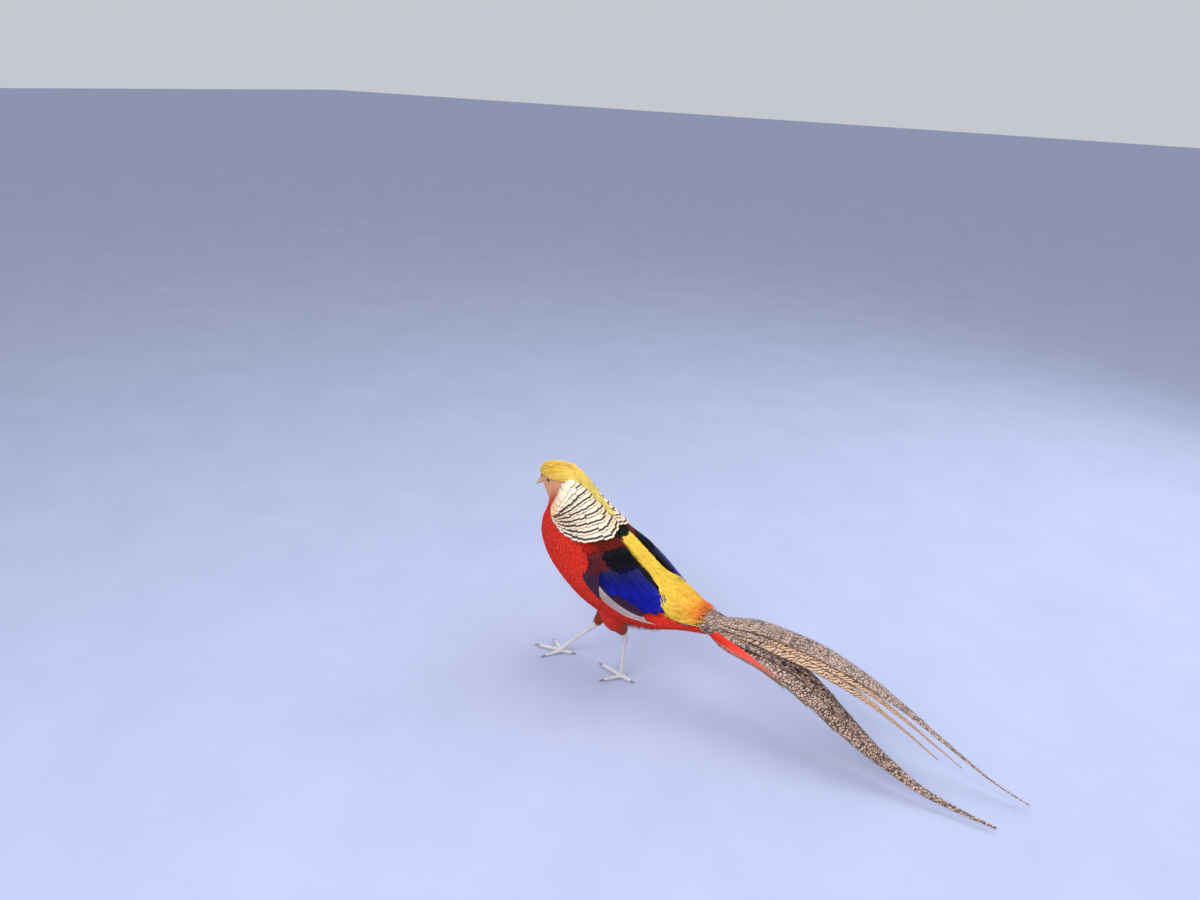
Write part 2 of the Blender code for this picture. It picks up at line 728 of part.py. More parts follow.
def make_leg(word, side, hip, knee, ankle, centre, angles):
    hip, knee, ankle = Vector(hip), Vector(knee), Vector(ankle)
    line = [hip, hip.lerp(knee, 0.55), knee, knee.lerp(ankle, 0.5), ankle]
    thigh = tube("thigh", line, [24 * MM, 22 * MM, 17 * MM, 10.5 * MM, 6.2 * MM], 14)
    carve(thigh, trunk_length("trunk", NECK_END, TORSO_END, 24, 48, 0.0, 0.0, 0.4 * MM))
    foot = Vector((centre[0], centre[1], PALM_HEIGHT))
    down = (foot - ankle).normalized()
    top = ankle + down * GAP
    bottom = foot + Vector((0, 0, 2.5 * MM))
    points = [top, top.lerp(bottom, 0.12), top.lerp(bottom, 0.5), top.lerp(bottom, 0.88), bottom]
    tarsus = tube("tarsus", points, [k * MM for k in (4.6, 4.2, 3.2, 3.5, 3.9)], 10)
    back = Vector((1, 0, 0.1))
    root = top.lerp(bottom, 0.62)
    spur = tube("spur", [root, root + back * 6 * MM, root + back * 10 * MM],
                [2.2 * MM, 1.6 * MM, 0.4 * MM], 6)
    join(tarsus, [spur])
    foot_node = make_foot(word, centre, angles)
    carve(tarsus, grown(foot_node, 0.4 * MM))
    carve(tarsus, grown(thigh, 0.4 * MM))
    finish(thigh, f"thigh_{word}", SCARLET)
    finish(tarsus, f"tarsus_{word}", LEG, 0.6)


def stand_on_origin():
    """Move every node so that the model's box is centred on the origin and rests on z = 0."""
    nodes = [o for o in bpy.data.objects if o.type == "MESH"]
    corners = [o.matrix_world @ v.co for o in nodes for v in o.data.vertices]
    low = Vector([min(c[k] for c in corners) for k in range(3)])
    high = Vector([max(c[k] for c in corners) for k in range(3)])
    for node in nodes:
        node.location -= Vector(((low.x + high.x) / 2, (low.y + high.y) / 2, low.z))


make_head()
make_eyes()
make_bill()
make_neck()
make_torso()
make_tail()
make_wing(-1, "wing_left")
make_wing(1, "wing_right")
for leg in LEGS:
    make_leg(*leg)
stand_on_origin()
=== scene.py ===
# Looks of the male golden pheasant: one skin, its coat of feathers, eyes, bill and legs.
# Metres, +Z up. The bird is worked out in its own frame, where it faces -X, its left side
# is at -Y and its feet stand round the origin, and is then moved to where the model stands.
import math

import bpy
import numpy as np
from mathutils import Matrix, Vector
from mathutils.kdtree import KDTree


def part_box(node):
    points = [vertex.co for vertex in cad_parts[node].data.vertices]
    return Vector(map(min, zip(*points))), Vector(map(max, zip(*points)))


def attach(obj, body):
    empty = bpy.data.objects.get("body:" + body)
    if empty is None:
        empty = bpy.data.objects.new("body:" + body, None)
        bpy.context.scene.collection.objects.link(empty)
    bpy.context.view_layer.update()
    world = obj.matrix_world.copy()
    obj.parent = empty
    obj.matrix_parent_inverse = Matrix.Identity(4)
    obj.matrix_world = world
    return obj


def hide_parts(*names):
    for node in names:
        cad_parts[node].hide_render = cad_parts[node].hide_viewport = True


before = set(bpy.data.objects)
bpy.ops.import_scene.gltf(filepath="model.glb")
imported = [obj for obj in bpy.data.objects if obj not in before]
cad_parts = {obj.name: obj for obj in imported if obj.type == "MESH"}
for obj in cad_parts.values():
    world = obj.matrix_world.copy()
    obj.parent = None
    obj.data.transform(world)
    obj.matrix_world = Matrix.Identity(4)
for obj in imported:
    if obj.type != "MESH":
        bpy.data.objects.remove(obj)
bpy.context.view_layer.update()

MM = 0.001
UP = np.array((0, 0, 1.0))

# The trunk: top point (x, z), bottom point (x, z) and half width of each section, bill to tail
SECTIONS = (
    (-0.0985, 0.3200, -0.0893, 0.3040, 0.0064),
    (-0.0960, 0.3295, -0.0850, 0.2985, 0.0102),
    (-0.0870, 0.3360, -0.0818, 0.2922, 0.0130),
    (-0.0715, 0.3382, -0.0802, 0.2868, 0.0150),
    (-0.0570, 0.3388, -0.0798, 0.2815, 0.0178),
    (-0.0410, 0.3345, -0.0803, 0.2762, 0.0215),
    (-0.0260, 0.3225, -0.0818, 0.2700, 0.0275),
    (-0.0110, 0.3065, -0.0845, 0.2630, 0.0345),
    (0.0070, 0.2885, -0.0883, 0.2535, 0.0405),
    (0.0270, 0.2720, -0.0908, 0.2415, 0.0460),
    (0.0490, 0.2550, -0.0912, 0.2210, 0.0520),
    (0.0710, 0.2370, -0.0770, 0.1875, 0.0575),
    (0.0920, 0.2195, -0.0470, 0.1560, 0.0605),
    (0.1120, 0.2030, -0.0110, 0.1310, 0.0595),
    (0.1330, 0.1880, 0.0360, 0.1150, 0.0530),
    (0.1550, 0.1755, 0.0930, 0.1175, 0.0435),
    (0.1780, 0.1675, 0.1440, 0.1310, 0.0320),
    (0.2000, 0.1630, 0.1840, 0.1370, 0.0230),
    (0.2215, 0.1590, 0.2120, 0.1410, 0.0170),
    (0.2420, 0.1570, 0.2370, 0.1450, 0.0130),
)
BROAD_BACK = 0.30
BROAD_START, BROAD_FULL = 7.5, 11.0
TRUNK_LIMITS = (-1.0, 19.3)
TRUNK_END = 18.8
NOSE_X, NOSE_Z, NOSE_CLOSING = -0.0957, 0.3075, 0.5
NOSE_END = -0.8

EYE_X, EYE_Y, EYE_Z = -0.0780, 0.0098, 0.3170
EYE_RADIUS = 4.6 * MM


def shift_to_model():
    """Where the bird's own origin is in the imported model, read from its left eye."""
    low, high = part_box("eye_left")
    middle = (low + high) / 2
    return np.array((middle.x - EYE_X, middle.y + EYE_Y, middle.z - EYE_Z))


SHIFT = shift_to_model()


def tone(red, green, blue):
    """A colour seen on a screen, 0 to 255, as linear values."""
    return np.array([((c / 255 + 0.055) / 1.055) ** 2.4 if c > 10 else c / 3295
                     for c in (red, green, blue)])


GOLD = tone(255, 206, 58)
GOLD_LIGHT = tone(255, 236, 140)
GOLD_DEEP = tone(222, 158, 44)
FACE = tone(252, 194, 150)
THROAT = tone(224, 146, 104)
NECK = tone(214, 104, 66)
SCARLET = tone(246, 54, 30)
CRIMSON = tone(200, 28, 18)
CREAM = tone(252, 234, 212)
CAPE_GOLD = tone(244, 188, 112)
BAR = tone(38, 22, 22)
GREEN = tone(10, 22, 18)
STRIPE = tone(255, 220, 80)
STRIPE_DEEP = tone(240, 184, 46)
RUMP = tone(244, 164, 52)
FRINGE = tone(226, 96, 34)
MAROON = tone(104, 26, 18)
BLACK = tone(13, 10, 18)
BLUE = tone(14, 24, 158)
BLUE_DEEP = tone(6, 8, 58)
PURPLE = tone(66, 40, 62)
PRIMARY = tone(226, 204, 192)
PRIMARY_DARK = tone(112, 84, 84)
RUST = tone(178, 74, 36)
FLUFF = tone(214, 160, 112)
SKIN_PINK = tone(226, 172, 140)


def smooth_through(values, t):
    """Smooth curve through rows of numbers, with t counted in rows."""
    rows = np.asarray(values, float)
    rows = rows[:, None] if rows.ndim == 1 else rows
    last = len(rows) - 1
    ends = np.vstack([2 * rows[0] - rows[1], rows, 2 * rows[-1] - rows[-2]])
    t = np.asarray(t, float)
    i = np.clip(np.floor(t).astype(int), 0, last - 1)
    f = (t - i)[..., None]
    p0, p1, p2, p3 = ends[i], ends[i + 1], ends[i + 2], ends[i + 3]
    out = 0.5 * (2 * p1 + (p2 - p0) * f + (2 * p0 - 5 * p1 + 4 * p2 - p3) * f ** 2
                 + (3 * p1 - p0 - 3 * p2 + p3) * f ** 3)
    return out if np.asarray(values).ndim > 1 else out[..., 0]


def through(values, t):
    """The same curve with t running from 0 to 1."""
    return smooth_through(values, np.asarray(t, float) * (len(values) - 1))


def ramp(x, start, end):
    """0 before start, 1 after end, smooth between."""
    t = np.clip((np.asarray(x, float) - start) / (end - start), 0, 1)
    return t * t * (3 - 2 * t)


def steps(rows):
    """Column of numbers from 0 at a feather's root to 1 at its tip."""
    return np.linspace(0, 1, rows)[:, None]


def fall(x, start, end):
    """1 before start, 0 after end, smooth between."""
    return 1 - ramp(x, start, end)


def mix(a, b, share):
    """Colour between a and b."""
    return a + (b - a) * np.asarray(share)[..., None]


def unit(v):
    return v / np.maximum(np.linalg.norm(v, axis=-1, keepdims=True), 1e-12)


def from_top(degrees):
    """Degrees from the top of the trunk to either side, 0 to 180."""
    return np.abs((np.asarray(degrees) + 180) % 360 - 180)


def trunk(u, degrees):
    """Point of the trunk's outer form: u is the section, degrees turn from top to right.
    Below 0 it closes in on the bill's root."""
    u = np.clip(u, *TRUNK_LIMITS)
    row = smooth_through(SECTIONS, np.maximum(u, 0))
    turn = np.radians(degrees)
    high, aside = np.cos(turn), np.sin(turn)
    closing = np.clip(-u, 0, 1)
    small = 1 - NOSE_CLOSING * closing
    width = row[..., 4] * (1 + BROAD_BACK * ramp(u, BROAD_START, BROAD_FULL) * high)
    middle_x, middle_z = (row[..., 0] + row[..., 2]) / 2, (row[..., 1] + row[..., 3]) / 2
    half_x, half_z = (row[..., 0] - row[..., 2]) / 2, (row[..., 1] - row[..., 3]) / 2
    middle_x = middle_x + (NOSE_X - middle_x) * closing
    middle_z = middle_z + (NOSE_Z - middle_z) * closing
    return np.stack([middle_x + half_x * high * small, width * aside * small,
                     middle_z + half_z * high * small], -1)


def directions(surface, u, v):
    """The two directions of a surface and its outward normal."""
    du, dv = 0.02, 0.5
    along = (surface(u + du, v) - surface(u - du, v)) / (2 * du)
    across = (surface(u, v + dv) - surface(u, v - dv)) / (2 * dv)
    return along, across, unit(np.cross(along, across))


def trace(surface, u, v, heading, length, rows, turn=0.0):
    """Paths of feathers on a surface: heading in radians from +u towards +v."""
    us, vs = [np.array(u, float)], [np.array(v, float)]
    heading = np.broadcast_to(heading, us[0].shape) + 0.0
    step = length / rows
    for _ in range(rows):
        along, across, _ = directions(surface, us[-1], vs[-1])
        size = np.linalg.norm(along, axis=-1)
        e1 = along / size[..., None]
        lean = (across * e1).sum(-1)
        rest = np.linalg.norm(across - e1 * lean[..., None], axis=-1)
        dv = step * np.sin(heading) / rest
        du = (step * np.cos(heading) - dv * lean) / size
        us.append(us[-1] + du)
        vs.append(vs[-1] + dv)
        heading = heading + turn * step
    return np.array(us), np.array(vs)


class Coat:
    """Many closed feathers gathered into one mesh."""

    def __init__(self, name):
        self.name = name
        self.batches = []
        self.count = 0

    def add(self, points, faces, *rest):
        self.batches.append((points, faces + self.count, *rest))
        self.count += len(points)

    def build(self, material, slot, nodes=()):
        arrays = [np.concatenate(kind) for kind in zip(*self.batches)]
        points, faces, colours, vane, metre, bake = arrays
        corners = faces.ravel()
        piece = solid(self.name, points, faces, colours, bake[corners], vane[corners],
                      metre[corners])
        return dress(piece, material, nodes)


def solid(name, points, faces, colours, bake, vane=None, metre=None):
    """Mesh object from arrays: triangles, a colour for each point, maps for each corner."""
    mesh = bpy.data.meshes.new(name)
    mesh.vertices.add(len(points))
    mesh.vertices.foreach_set("co", (points + SHIFT).ravel())
    mesh.loops.add(faces.size)
    mesh.loops.foreach_set("vertex_index", faces.ravel().astype(np.int32))
    mesh.polygons.add(len(faces))
    mesh.polygons.foreach_set("loop_start", np.arange(0, faces.size, 3, dtype=np.int32))
    mesh.update(calc_edges=True)
    for label, places in (("OFBake", bake), ("Vane", vane), ("Metre", metre)):
        if places is not None:
            layer = mesh.uv_layers.new(name=label)
            layer.data.foreach_set("uv", places.astype(np.float32).ravel())
    paint = mesh.color_attributes.new("Coat", "FLOAT_COLOR", "POINT")
    shades = np.ones((len(points), 4), np.float32)
    shades[:, :3] = colours
    paint.data.foreach_set("color", shades.ravel())
    mesh.shade_smooth()
    piece = bpy.data.objects.new(name, mesh)
    bpy.context.scene.collection.objects.link(piece)
    return piece


def dress(piece, material, nodes=()):
    """Give a piece its material and its body, and hide the parts that it stands for."""
    piece.data.materials.clear()
    piece.data.materials.append(material)
    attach(piece, "root")
    if nodes:
        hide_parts(*nodes)
    return piece


UNWRAP_EDGE, UNWRAP_WIDE, UNWRAP_HIGH = 0.02, 0.96, 0.76
TUFT = 0.0015


def unwrap(u, degrees):
    """Place on the unwrapped skin of the trunk."""
    return np.stack([UNWRAP_EDGE + UNWRAP_WIDE * ((np.asarray(degrees) / 360 + 0.5) % 1.0),
                     UNWRAP_EDGE + UNWRAP_HIGH * np.clip(u, 0, 19) / 19], -1)


def walls(rows, sides, around=False):
    """Triangles between rings of points; around joins the last ring to the first too."""
    k, j = np.indices((rows if around else rows - 1, sides))
    beside, ahead = (j + 1) % sides, (k + 1) % rows * sides
    a, b, c, d = k * sides + j, k * sides + beside, ahead + j, ahead + beside
    both = [np.stack(corners, -1).reshape(-1, 3) for corners in ((a, c, d), (a, d, b))]
    return np.concatenate(both)


def pairs(shape, first, second):
    """Two numbers for each point of a grid, one pair in a row."""
    both = [np.broadcast_to(one, shape) for one in (first, second)]
    return np.stack(both, -1).reshape(-1, 2)


def grow(coat, surface, us, vs, heights, widths, colours, bake, columns=3, camber=0.12,
         thick=0.18 * MM, patch=(TUFT, TUFT), reach=1.0):
    """Closed feathers along paths: rows by feathers for us, vs, heights and half widths."""
    rows, count = us.shape
    _, _, normal = directions(surface, us, vs)
    centre = surface(us, vs) + normal * heights[..., None]
    ahead = unit(np.gradient(centre, axis=0))
    aside = unit(np.cross(normal, ahead))
    up = np.cross(ahead, aside)
    spread = np.linspace(-1, 1, columns)
    crown = 1 - np.abs(spread) ** 1.7
    ring = [(s, camber * c, 0.5) for s, c in zip(spread, crown)]
    if columns > 3:
        ring += [(s, camber * c, -0.5) for s, c in zip(spread[-2:0:-1], crown[-2:0:-1])]
    sides = len(ring)
    points = np.empty((count, rows, sides, 3))
    for j, (s, rise, face) in enumerate(ring):
        full = 1 - abs(s) ** 3
        if columns == 3:
            full = 2 if j == 1 else 0
        lift = widths * rise + thick * face * full
        place = centre + aside * (widths * s)[..., None] + up * lift[..., None]
        points[:, :, j] = np.swapaxes(place, 0, 1)
    fan = np.array([(0, i, i + 1) for i in range(1, sides - 1)])
    one = np.concatenate([walls(rows, sides), fan, fan[:, ::-1] + (rows - 1) * sides])
    faces = (one[None] + (np.arange(count) * rows * sides)[:, None, None]).reshape(-1, 3)
    shades = np.repeat(np.swapaxes(colours, 0, 1)[:, :, None], sides, 2)
    s = np.array([at for at, _, _ in ring])
    t = steps(rows)
    travel = np.concatenate([np.zeros((1, count)),
                             np.cumsum(np.linalg.norm(np.diff(centre, axis=0), axis=-1), 0)])
    shape = (count, rows, sides)
    bake = bake[:, None, None]
    coat.add(points.reshape(-1, 3), faces, shades.reshape(-1, 3),
             pairs(shape, 0.5 + 0.5 * s, t * np.reshape(reach, (-1, 1, 1))),
             pairs(shape, (widths.T[..., None] * s) * 10 + np.arange(count)[:, None, None] * 0.37,
                   travel.T[..., None] * 10),
             pairs(shape, bake[..., 0] + patch[0] * s, bake[..., 1] + patch[1] * (2 * t - 1)))


def grow_coat(name, material, slot, nodes, *feathers, **form):
    """Coat whose feathers all grow in one go."""
    coat = Coat(name)
    grow(coat, *feathers, **form)
    return coat.build(material, slot, nodes)


TRIES, CELLS_U, CELLS_V = 4.5, 80, 120


def scatter(surface, u_range, v_range, inside, spacing, seed):
    """Places spread evenly over part of a surface, none nearer than the spacing."""
    draw = np.random.default_rng(seed)
    u_edges = np.linspace(*u_range, CELLS_U + 1)
    v_edges = np.linspace(*v_range, CELLS_V + 1)
    cu, cv = np.meshgrid((u_edges[1:] + u_edges[:-1]) / 2, (v_edges[1:] + v_edges[:-1]) / 2,
                         indexing="ij")
    along, across, _ = directions(surface, cu, cv)
    du, dv = u_edges[1] - u_edges[0], v_edges[1] - v_edges[0]
    area = np.linalg.norm(np.cross(along, across), axis=-1) * du * dv
    total = area.sum()
    tries = int(TRIES * total / spacing ** 2)
    pick = draw.choice(area.size, tries, p=(area / total).ravel())
    u = cu.ravel()[pick] + du * (draw.random(tries) - 0.5)
    v = cv.ravel()[pick] + dv * (draw.random(tries) - 0.5)
    keep = inside(u, v)
    u, v = u[keep], v[keep]
    spots = surface(u, v)
    cells = np.floor(spots / spacing).astype(int)
    taken, chosen = {}, []
    around = [(i, j, k) for i in (-1, 0, 1) for j in (-1, 0, 1) for k in (-1, 0, 1)]
    limit = spacing ** 2
    for n, ((x, y, z), (cx, cy, cz)) in enumerate(zip(spots.tolist(), cells.tolist())):
        near = (p for i, j, k in around for p in taken.get((cx + i, cy + j, cz + k), ()))
        if all((x - px) ** 2 + (y - py) ** 2 + (z - pz) ** 2 >= limit for px, py, pz in near):
            taken.setdefault((cx, cy, cz), []).append((x, y, z))
            chosen.append(n)
    return u[chosen], v[chosen]


def read(points, x):
    """Value at x of a line given as (x, value) pairs."""
    return np.interp(x, [p[0] for p in points], [p[1] for p in points])


# Borders of the markings, as degrees from the top at each section or sections at degrees
CREST_EDGE = ((0.0, 62), (0.6, 60), (1.35, 60), (2.4, 67), (3.45, 70), (4.4, 62), (5.1, 50),
              (5.6, 38), (6.25, 28), (6.85, 22), (7.4, 17), (8.0, 12), (8.5, 8), (8.9, 3))
CAPE_TOP = ((0, 5.3), (40, 5.4), (58, 5.8), (75, 6.3), (88, 6.8), (104, 7.5))
CAPE_EDGE = ((0, 9.4), (10, 9.55), (21, 9.75), (40, 9.75), (58, 9.7), (75, 9.5), (92, 8.95),
             (104, 8.0))
STRIPE_EDGE = ((9.0, 12), (11.5, 12), (12.6, 14), (13.3, 20), (14.1, 37), (15.1, 49), (16.2, 54),
               (17.0, 57))
CAPE_SIDE = 103


def crest_share(u, v):
    """Place across the crest: 0 in the middle, 1 at its edge."""
    return np.abs(v) / read(CREST_EDGE, u)


def zone_colour(u, v, plain=False):
    """Colour of the plumage at a place of the trunk; plain leaves out cape, crest and face."""
    side = from_top(v)
    stripe = read(STRIPE_EDGE, u)
    colour = mix(SCARLET, CRIMSON, 0.35 * ramp(side, 60, 120) * ramp(u, 11, 14))
    colour = mix(NECK, colour, ramp(u, 5.3, 6.6))
    for shade, share in (
            (RUST, ramp(side, 128, 165) * ramp(u, 12.0, 13.6)),
            (FLUFF, ramp(side, 120, 150) * ramp(u, 13.8, 14.8) * fall(u, 16.0, 17.0)),
            (MAROON, ramp(u, 9.2, 9.7) * fall(u, 10.7, 11.1) * fall(side, 54, 70)),
            (BLACK, ramp(u, 10.3, 10.8) * fall(u, 13.9, 14.2) * fall(side, 60, 74)),
            (STRIPE, ramp(u, 9.9, 10.1) * fall(side, stripe - 2, stripe + 2)),
            (RUMP, ramp(u, 14.3, 15.6) * fall(side, stripe - 2, stripe + 4)),
            (SCARLET, ramp(u, 16.2, 16.6)),
            (GREEN, ramp(u, 8.6, 8.9) * fall(u, 10.0, 10.2) * fall(side, 34, 44))):
        colour = mix(colour, shade, share)
    if plain:
        return colour
    in_cape = (u > read(CAPE_TOP, side)) & (u < read(CAPE_EDGE, side)) & (side < CAPE_SIDE)
    face = (u < 5.6) & ~in_cape
    crest = (crest_share(u, side) < 1) & (u < 8.6)
    colour = np.where(in_cape[..., None], mix(CREAM, CAPE_GOLD, 0.4), colour)
    colour = np.where(face[..., None], mix(FACE, THROAT, ramp(side, 110, 150)), colour)
    return np.where(crest[..., None], GOLD, colour)


SKIN_SIDES = 120
SKIN_STEP = 0.08
SOCKET_DEPTH = 2.0 * MM
SOCKET_FLOOR, SOCKET_RIM = 3.6 * MM, 5.2 * MM
THIGH_RADII = (15.0, 20.5, 17.0, 10.5, 6.2)


def from_eye(u, v):
    """Distance from the middle of the nearer eye, seen from the side."""
    spot = trunk(u, v)
    away = np.hypot(spot[..., 0] - EYE_X, spot[..., 2] - EYE_Z)
    return np.where(np.abs(spot[..., 1]) > EYE_Y / 2, away, 1.0)


def skin_depth(u, v):
    """How far the skin lies under the outer form of the trunk."""
    socket = SOCKET_DEPTH * fall(from_eye(u, v), SOCKET_FLOOR, SOCKET_RIM)
    return (0.9 + 1.7 * ramp(u, 4.5, 8.0)) * MM + socket


def thigh_surface(hip, knee, ankle):
    """Surface of a thigh: t runs from 0 at the hip to 4 at the ankle, degrees turn round it."""
    hip, knee, ankle = np.array(hip), np.array(knee), np.array(ankle)
    line = np.array([hip, hip + (knee - hip) * 0.55, knee, (knee + ankle) / 2, ankle])
    radii = np.array(THIGH_RADII) * MM

    def surface(t, degrees):
        t = np.clip(t, 0, 4.5)
        centre = smooth_through(line, t)
        radius = np.maximum(smooth_through(radii, t), 3.0 * MM)
        forward = unit(smooth_through(line, t + 0.01) - smooth_through(line, t - 0.01))
        aside = unit(np.cross(forward, np.array((1.0, 0, 0))))
        rise = np.cross(aside, forward)
        turn = np.radians(degrees)
        return (centre + aside * (radius * np.cos(turn))[..., None]
                + rise * (radius * np.sin(turn))[..., None])
    return surface


# word, side, hip, knee, ankle, middle of the foot, degrees of the three front toes
LEGS = (
    ("right", 1, (0.026, 0.026, 0.158), (0.0155, 0.030, 0.110), (-0.003, 0.021, 0.066),
     (-0.056, 0.004), (8, 54, -38)),
    ("left", -1, (0.040, -0.026, 0.162), (0.050, -0.024, 0.121), (0.062, -0.009, 0.090),
     (0.058, -0.003), (-14, 46, -60)),
)
THIGH_END = (3.75, 3.40)
# Unwrap of the thighs: corner and size, with the second thigh beside the first
THIGH_CORNER, THIGH_SIZE, THIGH_APART = (0.02, 0.81), (0.44, 0.17), 0.5
SKIN_CORNER, SKIN_SIZE = (0.01, 0.02), (0.98, 0.76)
SEAM_ROOM = 0.97


def tube_arrays(rings, colours, corner=(0.0, 0.0), size=(1.0, 1.0)):
    """Closed tube through rings of points, with colours for each point and its unwrap."""
    rows, sides = rings.shape[:2]
    points = np.concatenate([rings.reshape(-1, 3), rings[:1].mean(1), rings[-1:].mean(1)])
    shades = np.concatenate([colours.reshape(-1, 3), colours[:1].mean(1), colours[-1:].mean(1)])
    hub, last = rows * sides, (rows - 1) * sides
    j = np.arange(sides)
    beside = (j + 1) % sides
    root = np.stack([np.full(sides, hub), j, beside], -1)
    end = np.stack([np.full(sides, hub + 1), beside + last, j + last], -1)
    faces = np.concatenate([walls(rows, sides), root, end])
    across = np.concatenate([np.tile(np.arange(sides) / sides, rows), (0.5, 0.5)])
    along = np.concatenate([np.repeat(np.linspace(0, 1, rows), sides), (0.0, 1.0)])
    places = np.stack([across[faces], along[faces]], -1)
    # A face over the seam takes its low corners past 1, for which the unwrap leaves room
    wrapped = np.ptp(places[..., 0], 1) > 0.6
    places[..., 0] += wrapped[:, None] & (places[..., 0] < 0.4)
    bake = np.array(corner) + places * np.array(size) * SEAM_ROOM
    return points, faces, shades, bake.reshape(-1, 2)


def painted(piece):
    """Points of a piece and their colours."""
    points = np.empty(len(piece.data.vertices) * 3, np.float32)
    piece.data.vertices.foreach_get("co", points)
    shades = np.empty(len(piece.data.vertices) * 4, np.float32)
    piece.data.attributes["Coat"].data.foreach_get("color", shades)
    return points.reshape(-1, 3), shades.reshape(-1, 4)


def join_pieces(piece, others):
    """Fuse other closed pieces into one and remove them; each point keeps its colour."""
    before = [painted(one) for one in (piece, *others)]
    shades = np.concatenate([pair[1] for pair in before])
    tree = KDTree(len(shades))
    for number, point in enumerate(np.concatenate([pair[0] for pair in before])):
        tree.insert(point, number)
    tree.balance()
    group = bpy.data.collections.new("join")
    bpy.context.scene.collection.children.link(group)
    for other in others:
        bpy.context.scene.collection.objects.unlink(other)
        group.objects.link(other)
    union = piece.modifiers.new("join", "BOOLEAN")
    union.operation = "UNION"
    union.operand_type = "COLLECTION"
    union.collection = group
    union.solver = "EXACT"
    graph = bpy.context.evaluated_depsgraph_get()
    mesh = bpy.data.meshes.new_from_object(piece.evaluated_get(graph))
    piece.modifiers.clear()
    piece.data = mesh
    for other in others:
        bpy.data.objects.remove(other, do_unlink=True)
    bpy.data.collections.remove(group)
    nearest = [tree.find(point)[1] for point in painted(piece)[0]]
    mesh.attributes["Coat"].data.foreach_set("color", shades[nearest].ravel())
    mesh.shade_smooth()
    return piece


def make_skin(material):
    """One skin over head, neck, trunk, tail root and thighs."""
    u = np.linspace(NOSE_END, TRUNK_END, int((TRUNK_END - NOSE_END) / SKIN_STEP) + 1)
    v = np.arange(SKIN_SIDES) * 360 / SKIN_SIDES - 180
    grid_u, grid_v = np.meshgrid(u, v, indexing="ij")
    _, _, normal = directions(trunk, grid_u, grid_v)
    rings = trunk(grid_u, grid_v) - normal * skin_depth(grid_u, grid_v)[..., None]
    skin = solid("skin", *tube_arrays(rings, zone_colour(grid_u, grid_v), SKIN_CORNER, SKIN_SIZE))
    thighs = []
    for number, (_, _, *joints, _, _) in enumerate(LEGS):
        surface = thigh_surface(*joints)
        t, d = np.meshgrid(np.linspace(0, THIGH_END[number] + 0.15, 40), np.arange(36) * 10.0,
                           indexing="ij")
        rings = surface(t, d) - directions(surface, t, d)[2] * 1.6 * MM
        corner = (THIGH_CORNER[0] + THIGH_APART * number, THIGH_CORNER[1])
        shade = mix(SCARLET, RUST, ramp(t, 2.0, 3.6))
        thighs.append(solid("thigh", *tube_arrays(rings, shade, corner, THIGH_SIZE)))
    join_pieces(skin, thighs)
    return dress(skin, material, ("neck", "torso", "thigh_left", "thigh_right"))


def body_inside(u, v):
    """Where the soft body feathers grow: not under the crest, cape, back plumes and wings."""
    side = from_top(v)
    under_cape = (u < read(CAPE_EDGE, side) - 0.5) & (side < CAPE_SIDE - 8) & (u > 5.2)
    under_wing = (u > 11.0) & (u < 14.2 - 0.8 * ramp(side, 42, 50)) & (side < 66) & (side > 16)
    stripe = (u > 9.6) & (side < read(STRIPE_EDGE, u) - 4)
    return (u > 5.0) & ~under_cape & ~under_wing & (~stripe | (u > 15.4)) & (u < 18.7)


def varied(colour, draw, amount):
    """Colours of many feathers made a little lighter or darker one by one."""
    return colour * (1 + amount * draw.uniform(-1, 1, colour.shape[:-1]))[..., None]


def shaded(base, tip, rows, curve=1.0):
    """Colours along feathers, rows by feathers, from root to tip."""
    t = np.linspace(0, 1, rows)[:, None, None] ** curve
    return base[None] + (tip - base)[None] * t


BODY_ROWS = 4
BODY_SPACING, THIGH_SPACING, FACE_SPACING = 1.85 * MM, 1.9 * MM, 0.80 * MM
SLENDER = (0.35, 0.85, 1.0, 0.75, 0.10)


def make_body_coat(material):
    """Soft overlapping feathers of breast, flanks and belly."""
    u, v = scatter(trunk, (5.0, 18.6), (-180, 180), body_inside, BODY_SPACING, 3)
    halves = ((u < 12.0, "coat_breast"), (u >= 12.0, "coat_belly"))
    for chosen, name in halves:
        draw = np.random.default_rng(len(name))
        fu, fv = u[chosen], v[chosen]
        side = from_top(fv)
        length = (9.0 + 6.0 * ramp(fu, 7.5, 11) + 3.0 * ramp(fu, 13, 15)) * MM
        length = length * draw.uniform(0.85, 1.15, len(fu))
        aside = 0.25 * np.sign(fv) * ramp(fu, 11, 13) * ramp(side, 60, 100)
        heading = draw.normal(0, 0.10, len(fu)) + aside
        us, vs = trace(trunk, fu, fv, heading, length, BODY_ROWS)
        t = steps(BODY_ROWS + 1)
        lift = draw.uniform(0.0, 0.45, len(fu)) * MM
        loose = ramp(fu, 14.0, 15.0) * ramp(side, 110, 140) * 1.6 * MM
        heights = -2.3 * MM + (2.3 * MM + lift + loose) * t ** 0.9
        half = (1.4 + 0.35 * ramp(fu, 8, 11)) * MM * draw.uniform(0.85, 1.2, len(fu))
        widths = half * through(SLENDER, t)
        colour = varied(zone_colour(us[-1], vs[-1], True), draw, 0.08)
        colours = shaded(colour * 0.82, colour * 1.04, BODY_ROWS + 1, 0.8)
        grow_coat(name, material, "body", (), trunk, us, vs, heights, widths, colours,
                  unwrap(fu, fv))


